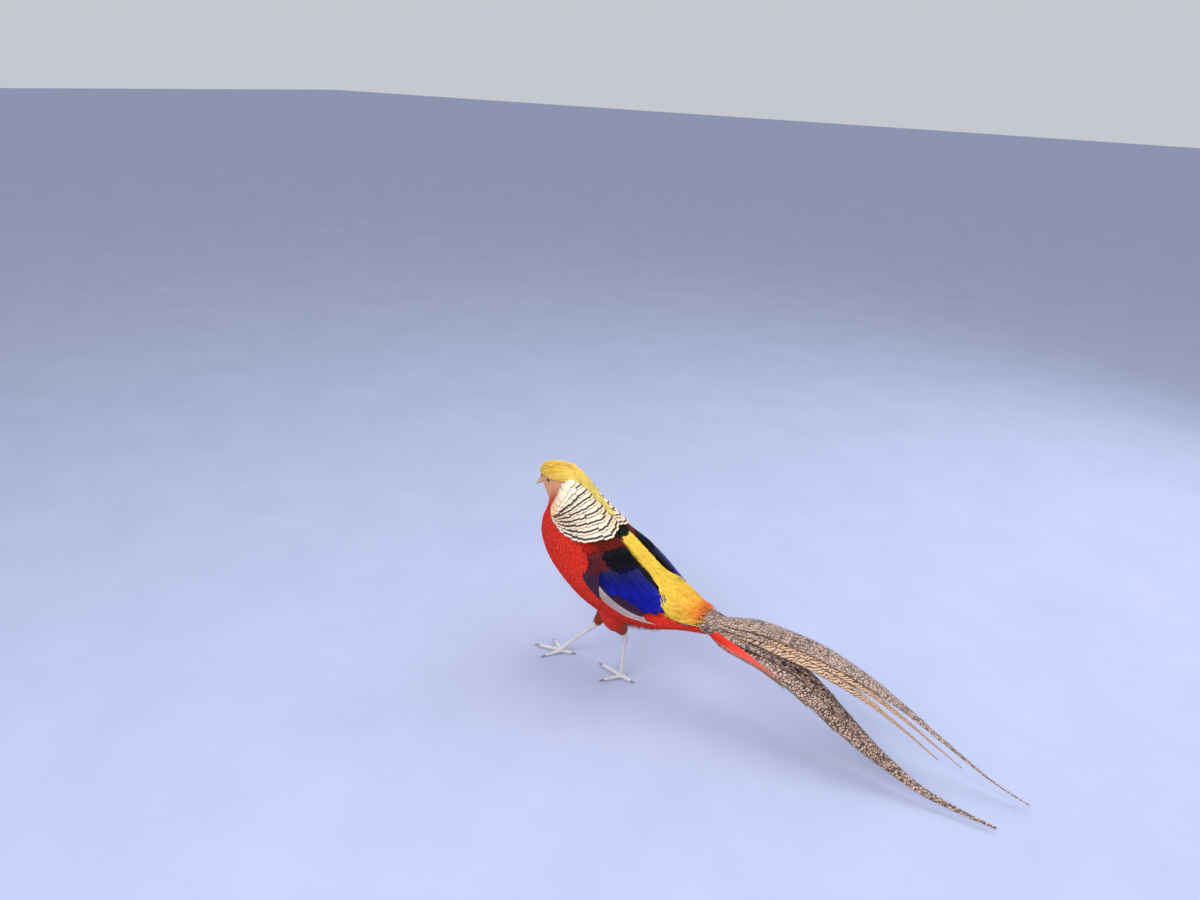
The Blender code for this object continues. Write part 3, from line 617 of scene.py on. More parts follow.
def make_thigh_coat(material):
    """Short feathers of both thighs."""
    coat = Coat("coat_thighs")
    draw = np.random.default_rng(8)
    for number, (_, _, *joints, _, _) in enumerate(LEGS):
        surface = thigh_surface(*joints)
        t, d = scatter(surface, (0.1, THIGH_END[number]), (0, 360), lambda t, d: t > 0,
                       THIGH_SPACING, 5 + number)
        length = 8.5 * MM * draw.uniform(0.85, 1.15, len(t)) * (1 - 0.35 * ramp(t, 2.6, 3.6))
        us, vs = trace(surface, t, d, draw.normal(0, 0.1, len(t)), length, BODY_ROWS)
        us = np.minimum(us, 4.3)
        along = steps(BODY_ROWS + 1)
        heights = -1.5 * MM + (1.7 * MM + draw.uniform(0, 0.6, len(t)) * MM) * along
        widths = 1.3 * MM * through(SLENDER, along) * np.ones((1, len(t)))
        colour = varied(mix(SCARLET, RUST, ramp(t, 1.6, 3.4)), draw, 0.15)
        bake = np.stack([THIGH_CORNER[0] + THIGH_APART * number + THIGH_SIZE[0] * (d % 360) / 360,
                         THIGH_CORNER[1] + THIGH_SIZE[1] * t / 4], -1)
        grow(coat, surface, us, vs, heights, widths,
             shaded(colour * 0.6, colour, BODY_ROWS + 1), bake)
    coat.build(material, "body")


EYE_CLEAR = 5.7 * MM
LID_REACH = 5.2 * MM


def face_inside(u, v):
    """Where the tiny feathers grow: beside the crest and clear of the eye."""
    return (crest_share(u, v) > 0.9) & (from_eye(u, v) > EYE_CLEAR)


def make_face_coat(material):
    """Tiny feathers of the face and throat."""
    u, v = scatter(trunk, (NOSE_END, 5.9), (-180, 180), face_inside, FACE_SPACING, 12)
    draw = np.random.default_rng(13)
    side = np.abs(v)
    length = (2.4 + 2.4 * ramp(u, 1.0, 4.5)) * MM * draw.uniform(0.85, 1.15, len(u))
    length = np.minimum(length, np.maximum(from_eye(u, v) - LID_REACH, 1.4 * MM))
    us, vs = trace(trunk, u, v, 0.30 * np.sign(v) + draw.normal(0, 0.08, len(u)), length, 3)
    t = steps(4)
    beard = 1.5 * ramp(side, 105, 140) * fall(u, 2.4, 3.6) * ramp(u, -0.2, 0.8)
    heights = -1.2 * MM + (1.35 + beard + draw.uniform(0, 0.16, len(u))) * MM * t ** 0.8
    widths = 0.50 * MM * through((0.6, 1.0, 0.85, 0.25), t) * np.ones((1, len(u)))
    colour = mix(FACE, THROAT, ramp(side, 105, 150))
    colour = mix(colour, NECK, ramp(u, 3.0, 5.2) * ramp(side, 60, 110))
    colour = mix(colour, GOLD, 0.6 * fall(crest_share(u, side), 0.95, 1.45)
                 * fall(u, 2.2, 3.0))
    colour = mix(colour, SCARLET, ramp(u, 4.9, 5.9) * ramp(side, 90, 120))
    colour = varied(colour, draw, 0.06)
    grow_coat("coat_face", material, "crest", (), trunk, us, vs, heights, widths,
              shaded(colour * 0.92, colour * 1.03, 4), unwrap(u, v), camber=0.07)


CREST_ROWS = 9
CREST_SPACING = 0.80 * MM
CREST_SWAY = 8.0
CREST_LAST = 8.8
CREST_SHAPE = (0.5, 0.9, 1.0, 1.0, 0.95, 0.8, 0.5, 0.12)
CREST_THICK = ((0.2, 0.3), (0.8, 2.0), (1.6, 4.0), (2.6, 6.4), (4.0, 8.0), (5.5, 8.6),
               (7.0, 8.0), (8.4, 6.8), (9.0, 5.5))


def make_crest(material):
    """Long silky feathers from the forehead over the crown and down the nape."""
    draw = np.random.default_rng(17)

    u, v = scatter(trunk, (-0.75, 5.2), (-80, 80), lambda u, v: crest_share(u, v) < 0.99,
                   CREST_SPACING, 19)
    count = len(u)
    share = v / read(CREST_EDGE, u)
    reach = np.minimum(u + 2.0 + 2.2 * ramp(u, 0.0, 2.2) + draw.uniform(-0.35, 0.35, count), 8.9)
    t = steps(CREST_ROWS)
    us = u + (reach - u) * t
    edge = read(CREST_EDGE, us)
    drift = share + draw.normal(0, 0.035, count) * t
    drift = np.clip(drift, -1.0, 1.0)
    vs = drift * edge + CREST_SWAY * ramp(us, 4.6, 7.0) + draw.normal(0, 0.8, count) * t ** 2
    depth = np.clip((us - u) / (reach - u), 0, 1)
    fall = 1 - 0.62 * np.abs(drift) ** 2.2
    thick = read(CREST_THICK, us) * MM * fall
    rank = 1 - np.maximum(u, 0) / 5.2
    low = 0.475 + (0.85 - 0.475) * ramp(us, 5.0, 6.8)
    heights = -1.0 * MM + (thick * (low + (1 - low) * rank) + 0.8 * MM) * depth ** 0.42
    heights = heights + draw.normal(0, 0.07, count) * MM * t
    widths = draw.uniform(0.62, 0.88, count) * MM * through(CREST_SHAPE, t)
    base = mix(GOLD, GOLD_LIGHT, ramp(draw.random(count), 0.2, 1.0) * 0.6)
    base = varied(base, draw, 0.05)
    colours = shaded(mix(base, GOLD_DEEP, 0.45), base, CREST_ROWS, 0.45)
    light = ramp(us, 3.0, 7.5)
    colours = colours + (GOLD_LIGHT - colours) * (0.75 * light)[..., None]
    grow_coat("crest", material, "crest", ("head",), trunk, us, vs, heights, widths, colours,
              unwrap(u, v), camber=0.07)


CAPE_TIERS = 9
CAPE_ROWS = 10
CAPE_SHAPE = (0.30, 0.55, 0.78, 0.92, 1.0, 1.0, 1.0, 0.90, 0.55)
CAPE_PITCH = 8.0 * MM
CAPE_LENGTH = 27 * MM
CAPE_FAN, CAPE_LEAN = 0.75, 0.9
CAPE_DIP = 3.4 * MM


def make_cape(material):
    """Cape of broad barred feathers in tiers, the lowest tier longest."""
    coat = Coat("cape")
    draw = np.random.default_rng(29)
    for tier in range(CAPE_TIERS):
        down = 0.10 + 0.90 * ((CAPE_TIERS - 1 - tier) / (CAPE_TIERS - 1))
        fine_v = np.linspace(-CAPE_SIDE, CAPE_SIDE, 400)
        side = np.abs(fine_v)
        fine_u = read(CAPE_TOP, side) * (1 - down) + read(CAPE_EDGE, side) * down
        line = trunk(fine_u, fine_v)
        travel = np.concatenate([[0], np.cumsum(np.linalg.norm(np.diff(line, axis=0), axis=1))])
        count = int(travel[-1] / CAPE_PITCH)
        at = (np.arange(count) + 0.5 + 0.25 * (-1) ** tier) / count * travel[-1]
        tip_v = np.interp(at, travel, fine_v) + draw.normal(0, 0.5, count)
        tip_u = np.interp(at, travel, fine_u) + draw.normal(0, 0.03, count)
        length = CAPE_LENGTH * (0.62 + 0.38 * down) * draw.uniform(0.95, 1.05, count)
        slope = unit(np.gradient(line, axis=0))
        slope = np.stack([np.interp(at, travel, slope[:, k]) for k in range(3)], -1)
        along, across, normal = directions(trunk, tip_u, tip_v)
        outward = np.cross(slope, normal)
        lean = np.arctan2((outward * unit(np.cross(normal, along))).sum(-1),
                          (outward * unit(along)).sum(-1))
        lean = np.clip(CAPE_FAN * lean, -CAPE_LEAN, CAPE_LEAN)
        back_u, back_v = trace(trunk, tip_u, tip_v, math.pi + lean, length, CAPE_ROWS - 1,
                               -lean * 18.0)
        us, vs = back_u[::-1], back_v[::-1]
        t = steps(CAPE_ROWS)
        top = (6.4 - 2.2 * down ** 5) * MM
        side_fall = 1 - 0.55 * ramp(np.abs(tip_v), 70, 103)
        heights = (0.6 * MM + (top - 0.6 * MM) * t ** 0.9) * side_fall
        off_crest = np.abs(vs - CREST_SWAY * ramp(us, 4.6, 7.0)) / read(CREST_EDGE, us)
        under_crest = fall(off_crest, 0.6, 1.3) * (us < CREST_LAST)
        heights = heights - CAPE_DIP * under_crest * t
        heights = heights + draw.normal(0, 0.12, count) * MM * t
        widths = CAPE_PITCH * draw.uniform(0.72, 0.86, count) * through(CAPE_SHAPE, t)
        warm = 0.16 + 0.6 * ramp(np.abs(tip_v), 60, 100) * fall(down, 0.7, 0.9)
        warm = warm + 0.35 * fall(np.abs(tip_v), 8, 26)
        colour = varied(mix(CREAM, CAPE_GOLD, np.clip(warm, 0, 1)), draw, 0.05)
        colours = shaded(colour * 0.75, colour, CAPE_ROWS, 0.5)
        marked = 1 - 0.26 * fall(down, 0.20, 0.42) * ramp(np.abs(tip_v), 26, 40)
        grow(coat, trunk, us, vs, heights, widths, colours, unwrap(us[0], tip_v), 7, 0.12,
             0.25 * MM, reach=marked)
    coat.build(material, "cape")


def patch_feathers(coat, places, length, half, lift, colour, draw, shape, rows=6, heading=0.0,
                   camber=0.16, surface=trunk, root=-0.6 * MM):
    """Broad round feathers from given roots; sizes may be single numbers or one for each."""
    u, v = places
    count = len(u)
    us, vs = trace(surface, u, v, heading + draw.normal(0, 0.05, count),
                   length * draw.uniform(0.93, 1.07, count), rows - 1)
    t = steps(rows)
    heights = root + (lift - root) * t + draw.normal(0, 0.05, count) * MM * t
    widths = half * draw.uniform(0.93, 1.07, count) * through(shape, t)
    shade = varied(colour * np.ones((count, 1)), draw, 0.10)
    grow(coat, surface, us, vs, heights, widths, shaded(shade * 0.8, shade, rows), unwrap(u, v),
         5, camber, 0.14 * MM)


ROUND = (0.4, 0.8, 1.0, 1.0, 0.9, 0.5)
OVAL = (0.4, 0.8, 1.0, 0.95, 0.75, 0.25)



def make_mantle(material):
    """Dark green scalloped feathers between the cape and the back plumes."""
    draw = np.random.default_rng(37)
    coat = Coat("mantle")

    u, v = scatter(trunk, (8.9, 9.75), (-42, 42),
                   lambda u, v: np.abs(v) < 22 - 8 * ramp(u, 9.2, 9.6), 2.8 * MM, 41)
    order = np.argsort(-u)
    u, v = u[order], v[order]
    patch_feathers(coat, (u, v), 12 * MM, 3.2 * MM, 1.2 * MM, GREEN, draw, ROUND, camber=0.08)
    coat.build(material, "wing")


def make_scapulars(material):
    """Dark red feathers between the cape and the wings."""
    draw = np.random.default_rng(43)
    coat = Coat("scapulars")

    def inside(u, v):
        side = np.abs(v)
        return (side > 15) & (side < 66 - 10 * ramp(u, 9.8, 10.6)) & (u > 9.3)
    u, v = scatter(trunk, (9.3, 10.35), (-66, 66), inside, 2.2 * MM, 47)
    shade = mix(MAROON, CRIMSON, ramp(np.abs(v), 44, 64) * 0.8)
    shade = mix(shade, BLACK, 0.75 * ramp(u, 10.1, 10.6) * fall(np.abs(v), 36, 52))
    patch_feathers(coat, (u, v), 12 * MM, 2.6 * MM, 1.2 * MM, shade, draw, OVAL, camber=0.06)
    coat.build(material, "wing")


WING_FRONT, WING_BACK = 10.7, 14.4
PAD_END = 0.78
WING_UPPER = (50, 24, 15, 16, 25, 42)
WING_LOWER = (66, 82, 86, 85, 82, 72)
WING_BODY = (0.8, 3.0, 3.4, 2.6, 1.4, 0.6)


def wing_pad(u, v):
    """Height of the closed wing's body over the trunk."""
    t = np.clip((u - WING_FRONT) / (WING_BACK - WING_FRONT), 0, 1)
    high, low = through(WING_UPPER, t), through(WING_LOWER, t)
    s = np.clip((np.abs(v) - high) / np.maximum(low - high, 1), 0, 1)
    bulge = np.sin(np.pi * s) ** 0.6
    stand_off = 1.1 + 3.4 * t ** 1.6
    soft = ramp(s, 0.0, 0.12) * fall(s, 0.88, 1.0)
    return (stand_off * (0.45 + 0.55 * soft) + through(WING_BODY, t) * bulge) * MM


def wing_surface(u, v):
    """Outer face of the closed wing."""
    return trunk(u, v) + directions(trunk, u, v)[2] * wing_pad(u, v)[..., None]


def make_wing_body(side, name, material):
    """Closed pad under the wing's feathers."""
    t, s = np.meshgrid(np.linspace(0, PAD_END, 40), np.linspace(0, 1, 24), indexing="ij")
    u = WING_FRONT + (WING_BACK - WING_FRONT) * t
    v = through(WING_UPPER, t) * (1 - s) + through(WING_LOWER, t) * s
    _, _, normal = directions(trunk, u, v)
    flat = trunk(u, v)
    over = flat + normal * (wing_pad(u, v)[..., None] - 0.4 * MM)
    under = flat + normal * 0.2 * MM
    ring = np.concatenate([over, under[:, ::-1]], 1) * np.array((1, side, 1))
    if side < 0:
        ring = ring[:, ::-1]
    piece = solid(f"{name}_body", *tube_arrays(ring, np.broadcast_to(BLACK, ring.shape)))
    return dress(piece, material, (name,))


BLADE = (0.45, 0.75, 0.92, 1.0, 1.0, 0.97, 0.85, 0.45)
PRIMARY_BLADE = (0.5, 0.8, 0.95, 1.0, 1.0, 0.95, 0.75, 0.15)
FLIGHT_COUNT, SECONDARY_COUNT = 7, 6
# root section and degrees, tip section and degrees, half width in mm, height in mm
BLUE_FEATHERS = (
    (10.90, 61, 13.15, 63, 8.4, 0.5), (10.95, 54, 13.60, 57, 8.8, 0.8),
    (11.00, 47, 14.00, 51, 9.2, 1.1), (11.10, 41, 14.30, 46, 9.2, 1.4),
    (11.20, 35, 14.50, 40, 8.8, 1.7), (11.20, 29, 14.40, 34, 8.0, 2.0),
    (11.00, 58, 12.50, 60, 7.8, 1.4), (11.05, 51, 12.90, 52, 8.2, 1.7),
    (11.10, 43, 13.30, 45, 8.2, 2.0), (11.10, 36, 13.60, 38, 7.8, 2.3),
    (11.10, 29, 13.80, 30, 7.0, 2.6), (11.05, 24, 14.10, 27, 6.4, 2.8),
)
BLACK_FEATHERS = (
    (11.10, 21, 13.90, 23, 5.0, 2.6), (11.00, 19, 13.30, 19, 4.6, 2.9),
    (10.90, 18, 12.60, 17, 4.4, 3.2),
)


def blades(coat, rows_of, colours, draw, rows=12, shape=BLADE):
    """Large wing feathers from a list, on both wings."""
    t = steps(rows)
    base, tip = colours
    for root_u, root_v, tip_u, tip_v, half, lift in rows_of:
        for side in (-1, 1):
            us = root_u + (tip_u - root_u) * t
            vs = side * (root_v + (tip_v - root_v) * t)
            heights = (0.1 + lift * t ** 0.7) * MM
            widths = half * MM * through(shape, t)
            # The right wing's tips are darker, at 0.45 of the colour: painted shade, as that wing
            # lies in shade.
            shade = varied(np.array([tip]), draw, 0.08) * (1.0 if side < 0 else 0.45)
            grow(coat, wing_surface, us, vs, heights, widths,
                 shaded(base[None], shade, rows, 1.7), unwrap(us[0], vs[0]), 7, 0.14,
                 0.35 * MM, (0.006, 0.012))


def make_wing_feathers(blue, plain, striped):
    """Blue and black tertials, dark coverts and the striped flight feathers of both wings."""
    draw = np.random.default_rng(53)
    flight = Coat("wing_flight")
    for number in range(FLIGHT_COUNT):
        k = number / (FLIGHT_COUNT - 1)
        root = (11.70 + 0.20 * k, 83 - 12 * k)
        tip = (14.20 + 0.60 * math.sin(math.pi * min(1.0, 0.25 + k)), 74 - 11 * k)
        blades(flight, ((*root, *tip, 3.6, 0.25 + 0.24 * number),), (PRIMARY_DARK, PRIMARY),
               draw, 14, PRIMARY_BLADE)
    flight.build(striped, "wing")

    secondary = Coat("wing_secondaries")
    for number in range(SECONDARY_COUNT):
        k = number / (SECONDARY_COUNT - 1)
        blades(secondary, ((11.85 + 0.1 * k, 70 - 7 * k, 14.05 - 0.30 * k, 62 - 7 * k, 2.9,
                            2.0 + 0.22 * number),), (PURPLE * 0.5, PURPLE * (1.5 - 0.7 * k)),
               draw, 14, PRIMARY_BLADE)
    secondary.build(plain, "wing")

    tertials = Coat("wing_blue")
    blades(tertials, BLUE_FEATHERS, (BLUE_DEEP, BLUE), draw)
    tertials.build(blue, "wing")

    dark = Coat("wing_black")
    blades(dark, BLACK_FEATHERS, (BLACK, BLACK * 1.2), draw)

    def black_inside(u, v):
        side = np.abs(v)
        return (side > 17) & (side < 47 - 9 * ramp(u, 10.6, 11.6))
    u, v = scatter(wing_surface, (10.25, 11.25), (-60, 60), black_inside, 2.4 * MM, 59)
    shade = mix(BLACK, BLUE_DEEP, ramp(u, 10.9, 11.25) * ramp(np.abs(v), 22, 32))
    patch_feathers(dark, (u, v), 14 * MM, 2.9 * MM, 2.6 * MM, shade, draw, OVAL,
                   surface=wing_surface, root=0.2 * MM, camber=0.06)
    dark.build(plain, "wing")

    brown = Coat("wing_coverts")

    def brown_inside(u, v):
        side = np.abs(v)
        return (side > 46) & (side < 64 + 22 * ramp(u, 10.6, 11.5)) & (
            u < 10.9 + 0.06 * np.maximum(side - 60, 0))
    u, v = scatter(wing_surface, (10.25, 12.3), (-88, 88), brown_inside, 2.2 * MM, 61)
    shade = mix(PURPLE, MAROON, 0.7 * fall(u, 10.8, 11.3))
    patch_feathers(brown, (u, v), 12 * MM, 2.6 * MM, 1.6 * MM, shade, draw, OVAL,
                   surface=wing_surface, root=0.2 * MM, camber=0.06)
    brown.build(plain, "wing")


PLUME_ROWS = 9
PLUME_LOCKS = 10
PLUME_SPACING = 1.12 * MM
PLUME_SHAPE = (0.4, 0.8, 1.0, 1.0, 0.9, 0.75, 0.5, 0.12)


def make_back_plumes(material):
    """Yellow hair-like plumes down the back, spreading over the rump to an orange fringe."""
    draw = np.random.default_rng(67)

    u, v = scatter(trunk, (9.75, 15.5), (-54, 54),
                   lambda u, v: np.abs(v) < read(STRIPE_EDGE, u) - 1.5, PLUME_SPACING, 71)
    count = len(u)
    share = v / read(STRIPE_EDGE, u)
    length = (20 + 14 * ramp(u, 12.5, 15.0)) * MM * draw.uniform(0.8, 1.15, count)
    along, _, _ = directions(trunk, u, v)
    reach = u + length / np.linalg.norm(along, axis=-1)
    reach = np.minimum(reach, 16.05 + 0.35 * np.abs(share) + draw.normal(0, 0.25, count))
    t = steps(PLUME_ROWS)
    number = np.round(share * PLUME_LOCKS + draw.normal(0, 0.3, count))
    reach = reach + 0.22 * np.sin(number * 2.4) * ramp(reach, 15.3, 16.0)
    us = u + (reach - u) * t
    drift = share + (number / PLUME_LOCKS - share) * 0.85 * t ** 2 * ramp(us, 13.0, 16.0)
    vs = drift * read(STRIPE_EDGE, us) + draw.normal(0, 0.8, count) * t ** 2
    top = (2.6 + 0.8 * ramp(u, 12, 14) + 1.4 * ramp(u, 14, 15.5)) * MM
    over_wing = ramp(np.abs(share), 0.4, 0.85) * ramp(reach, 13.0, 13.9) * fall(u, 14.0, 14.7)
    top = top + 3.0 * MM * over_wing
    heights = -1.2 * MM + (top + 1.2 * MM + draw.normal(0, 0.25, count) * MM) * t ** 0.6
    widths = draw.uniform(0.55, 0.85, count) * MM * through(PLUME_SHAPE, t)
    ripe = ramp(u + draw.normal(0, 0.35, count), 13.4, 14.8) * (
        1 - 0.7 * ramp(-share, 0.45, 0.85))
    base = mix(STRIPE, RUMP, 0.95 * ripe)
    base = varied(base, draw, 0.10)
    colours = shaded(mix(base, STRIPE_DEEP, 0.6), base, PLUME_ROWS, 0.5)
    edge = ramp(us, 15.3, 16.2) * ramp(t, 0.35, 1.0) * (0.3 + 0.7 * ripe)
    colours = colours + (FRINGE - colours) * (0.85 * edge)[..., None]
    grow_coat("back_plumes", material, "body", (), trunk, us, vs, heights, widths, colours,
              unwrap(u, v))


# The tail: the same sheets and feathers as the solid has
TAIL_RIGHT = ((0.190, 0.157), (0.250, 0.163), (0.300, 0.158), (0.350, 0.149), (0.410, 0.129),
              (0.455, 0.108), (0.520, 0.073), (0.600, 0.031), (0.680, 0.005))
TAIL_LEFT = ((0.190, 0.155), (0.250, 0.154), (0.300, 0.143), (0.350, 0.122), (0.410, 0.084),
             (0.455, 0.056), (0.520, 0.0265), (0.600, 0.0140), (0.680, 0.0115))
TAIL_START = 0.194
TAIL_LAYER = 1.6 * MM
LEFT_TILT = 0.62
# pair, side, length, place across the fan, half width in mm, layers down from the top
RECTRICES = (
    (1, 1, 0.455, 0.88, 23.0, 0), (2, 1, 0.365, 0.25, 18.0, 1), (2, -1, 0.335, -0.30, 18.0, 2),
    (1, -1, 0.420, -0.95, 23.0, 3), (3, 1, 0.290, 1.25, 16.0, 3), (3, -1, 0.250, -1.28, 15.0, 4),
    (4, 1, 0.235, 1.45, 15.0, 4), (4, -1, 0.205, -1.45, 14.0, 5), (5, 1, 0.185, 1.64, 14.0, 5),
    (5, -1, 0.165, -1.62, 13.0, 6), (6, 1, 0.145, 1.82, 12.0, 6), (6, -1, 0.130, -1.78, 12.0, 7),
)
TAIL_SHAPE = (1.0, 1.0, 1.0, 0.75, 0.40, 0.19, 0.06)
COVERT_COUNT = 8
COVERT_PALE = tone(240, 120, 110)


def height_on(line, x):
    """Height of a line of (x, z) points at x."""
    xs = np.array([p[0] for p in line])
    k = np.clip(np.searchsorted(xs, x, side="left") - 1, 0, len(xs) - 2)
    share = (x - xs[k]) / (xs[k + 1] - xs[k])
    return smooth_through([p[1] for p in line], k + share)


def tail_spread(a):
    """Distance in mm of the long outer feathers from the middle."""
    return 6.0 + 30.0 * (1 - np.exp(-a / 1.3))


def tail_sheet(a, b):
    """Right sheet: a in tenths of a metre behind its start, b in mm to the right."""
    x, y = TAIL_START + a * 0.1, b * MM
    vault = 3.0 + 8.0 * np.exp(-a / 0.5)
    return np.stack([x, y, height_on(TAIL_RIGHT, x) - vault * y * y], -1)


def tail_sheet_left(a, b):
    """Left sheet, which hangs lower and tilts down to the left."""
    x, y = TAIL_START + a * 0.1, b * MM
    vault = 2.0 + 8.0 * np.exp(-a / 0.5)
    aside = y + 0.95 * tail_spread(a) * MM
    tilt = LEFT_TILT * (1 - np.exp(-a / 1.0))
    return np.stack([x, y, height_on(TAIL_LEFT, x) + tilt * aside - vault * aside * aside], -1)


def tail_sheet_middle(a, b):
    """Sheet between the two halves of the tail."""
    return (tail_sheet(a, b) + tail_sheet_left(a, b)) / 2
# half of the tail, place across, length, half width in mm and height in mm of the spotted
# coverts that lie over the roots of the tail feathers
SPOTTED_COVERTS = (
    (tail_sheet_left, -0.95, 0.150, 15.0, 1.2), (tail_sheet_left, -0.45, 0.190, 16.0, 2.2),
    (tail_sheet_middle, -0.10, 0.215, 17.0, 1.4), (tail_sheet, 0.45, 0.170, 15.0, 2.4),
    (tail_sheet, 0.05, 0.130, 14.0, 3.6), (tail_sheet_middle, -0.45, 0.125, 13.0, 4.2),
)

def tail_feather(coat, sheet, length, place, half, height, slot_at, rows=60, camber=0.12,
                 shift=0.0, colour=None, gather=0.0, begin=0.0, sink=0.0):
    """One tail feather on its sheet; gather draws its tip in, and sink lowers its root."""
    t = steps(rows)
    stop = t * length
    us = (begin + stop) * 10
    vs = place * tail_spread(us) * (1 - gather * us) + shift
    widths = np.minimum(half * through(TAIL_SHAPE, t), 3.0 * MM + stop * 0.34)
    heights = height - sink * fall(t, 0.0, 0.22)
    shade = np.ones((rows, 1, 3)) if colour is None else colour(t)
    grow(coat, sheet, us, vs, heights, widths, shade, np.array([slot_at]), 11, camber, 0.5 * MM,
         (0.036, 0.46))


def make_tail(netted, barred, scarlet):
    """Long tail feathers, and the scarlet coverts beside their roots."""
    long_pair, others = Coat("tail_long"), Coat("tail_barred")
    for number, (pair, side, length, place, half, layer) in enumerate(RECTRICES):
        left = side < 0 and pair != 2
        sheet = tail_sheet_left if left else tail_sheet
        coat = long_pair if pair == 1 else others
        tail_feather(coat, sheet, length, place, half * MM, -layer * TAIL_LAYER,
                     (0.05 + 0.08 * number, 0.5))
    for number, (sheet, place, length, half, height) in enumerate(SPOTTED_COVERTS):
        tail_feather(long_pair, sheet, length, place, half * MM, height * MM,
                     (0.05 + 0.08 * number, 0.5), 40)
    long_pair.build(netted, "tail", ("tail",))
    others.build(barred, "tail")
    draw = np.random.default_rng(73)
    coverts = Coat("tail_coverts")

    def red(t):
        fresh = varied(mix(SCARLET, CRIMSON, draw.random(1) * 0.9), draw, 0.16)
        return mix(fresh, COVERT_PALE, 0.75 * ramp(t, 0.35, 1.0))
    for side, sheet in ((-1, tail_sheet_left), (1, tail_sheet)):
        for i in range(COVERT_COUNT):
            length = (0.135 - 0.010 * i) * draw.uniform(0.9, 1.06)
            drop = 0.0 if side < 0 else 5.0
            tail_feather(coverts, sheet, length, side * (1.95 + 0.09 * i), 3.0 * MM,
                         (1.6 - 0.6 * i - drop) * MM, (0.05 + 0.06 * i, 0.5), 24, 0.3,
                         side * 3.0, red, 0.13, -0.012, 3.0 * MM)
    coverts.build(scarlet, "body")


def make_root_coverts(material):
    """Short spotted coverts between the rump plumes and the tail."""
    draw = np.random.default_rng(83)
    coat = Coat("tail_root")

    u, v = scatter(trunk, (15.2, 17.6), (-62, 62),
                   lambda u, v: np.abs(v) < 46 + 14 * ramp(u, 15.5, 17.0), 5.2 * MM, 89)
    patch_feathers(coat, (u, v), 28 * MM, 6.0 * MM, 1.8 * MM, np.ones(3), draw, OVAL, rows=8,
                   camber=0.08, root=0.2 * MM)
    coat.build(material, "tail")


def make_belly_down(material):
    """Loose brownish down that hangs behind the legs."""
    draw = np.random.default_rng(97)

    u, v = scatter(trunk, (13.6, 15.2), (-180, 180),
                   lambda u, v: np.abs(v) > 136 + 16 * ramp(u, 13.8, 15.0), 1.6 * MM, 101)
    count = len(u)
    length = draw.uniform(12, 19, count) * MM
    us, vs = trace(trunk, u, v, draw.normal(0, 0.35, count), length, 5)
    t = steps(6)
    heights = -1.5 * MM + draw.uniform(3.5, 10.0, count) * MM * t ** 1.2
    widths = draw.uniform(0.7, 1.1, count) * MM * through((0.5, 1.0, 0.9, 0.6, 0.12), t)
    colour = varied(mix(FLUFF, RUST, draw.random(count) * 0.8), draw, 0.12)
    grow_coat("belly_down", material, "body", (), trunk, us, vs, heights, widths,
              shaded(colour * 0.8, colour, 6), unwrap(u, v))


PUPIL, IRIS, EYE_RIM = tone(6, 5, 6), tone(196, 138, 48), tone(40, 24, 14)
PUPIL_DEGREES, IRIS_DEGREES = 33, 50


def ball(open_end, rows, sides):
    """Rings of points of a round form of size 1, and how far each lies from its -y end."""
    polar, turn = np.meshgrid(np.linspace(open_end, math.pi - open_end, rows),
                              np.arange(sides) * math.tau / sides, indexing="ij")
    return np.stack([np.sin(polar) * np.cos(turn), -np.cos(polar) * np.ones_like(turn),
                     np.sin(polar) * np.sin(turn)], -1), np.degrees(polar)


def make_eyes(material):
    """Round eyes with a dark pupil and an amber iris."""
    for side, word in ((-1, "left"), (1, "right")):
        ring, away = ball(0.03, 40, 48)
        forward = (away if side < 0 else 180 - away)[..., None]
        colour = np.where(forward < PUPIL_DEGREES, PUPIL, IRIS)
        colour = np.where(forward > IRIS_DEGREES, EYE_RIM, colour)
        points = np.array((EYE_X, side * EYE_Y, EYE_Z)) + ring * EYE_RADIUS
        eye = solid(f"eye_{word}_fine", *tube_arrays(points, colour))
        dress(eye, material, (f"eye_{word}",))


def cheek_slope():
    """Breadth of the head at the eye and how it changes along x and z."""
    u, v = np.meshgrid(np.linspace(0.3, 4.5, 160), np.linspace(30, 150, 160), indexing="ij")
    spot = trunk(u, v)[from_eye(u, v) < 6.0 * MM]
    terms = np.stack([np.ones(len(spot)), spot[:, 0] - EYE_X, spot[:, 2] - EYE_Z], -1)
    return np.linalg.lstsq(terms, spot[:, 1], rcond=None)[0]


LID_RING, LID_HALF, LID_THICK = 4.15 * MM, 1.05 * MM, 0.65 * MM
LID_SINK = 0.30 * MM
LID_SQUEEZE = 0.93
LID_ROWS, LID_SIDES = 64, 16


def make_lids(material):
    """Lids round each eye, set along the slope of the cheek."""
    breadth, slope_x, slope_z = cheek_slope()
    k, j = np.indices((LID_ROWS, LID_SIDES))
    turn, small = k * math.tau / LID_ROWS, j * math.tau / LID_SIDES
    major = LID_RING * (1 + 0.10 * np.cos(turn) ** 2)
    x = EYE_X + (major + LID_HALF * np.cos(small)) * np.cos(turn)
    z = EYE_Z + (major + LID_HALF * np.cos(small)) * np.sin(turn) * LID_SQUEEZE
    out = (breadth - LID_SINK + slope_x * (x - EYE_X) + slope_z * (z - EYE_Z)
           + LID_THICK * np.sin(small))
    shade = np.broadcast_to(SKIN_PINK, (k.size, 3))
    maps = pairs(k.shape, k / LID_ROWS, j / LID_SIDES)
    for side, word in ((-1, "left"), (1, "right")):
        points = np.stack([x, side * out, z], -1).reshape(-1, 3)
        faces = walls(LID_ROWS, LID_SIDES, True)
        if side > 0:
            faces = faces[:, ::-1]
        piece = solid(f"lids_{word}", points, faces, shade, maps[faces.ravel()] * 0.96)
        dress(piece, material)


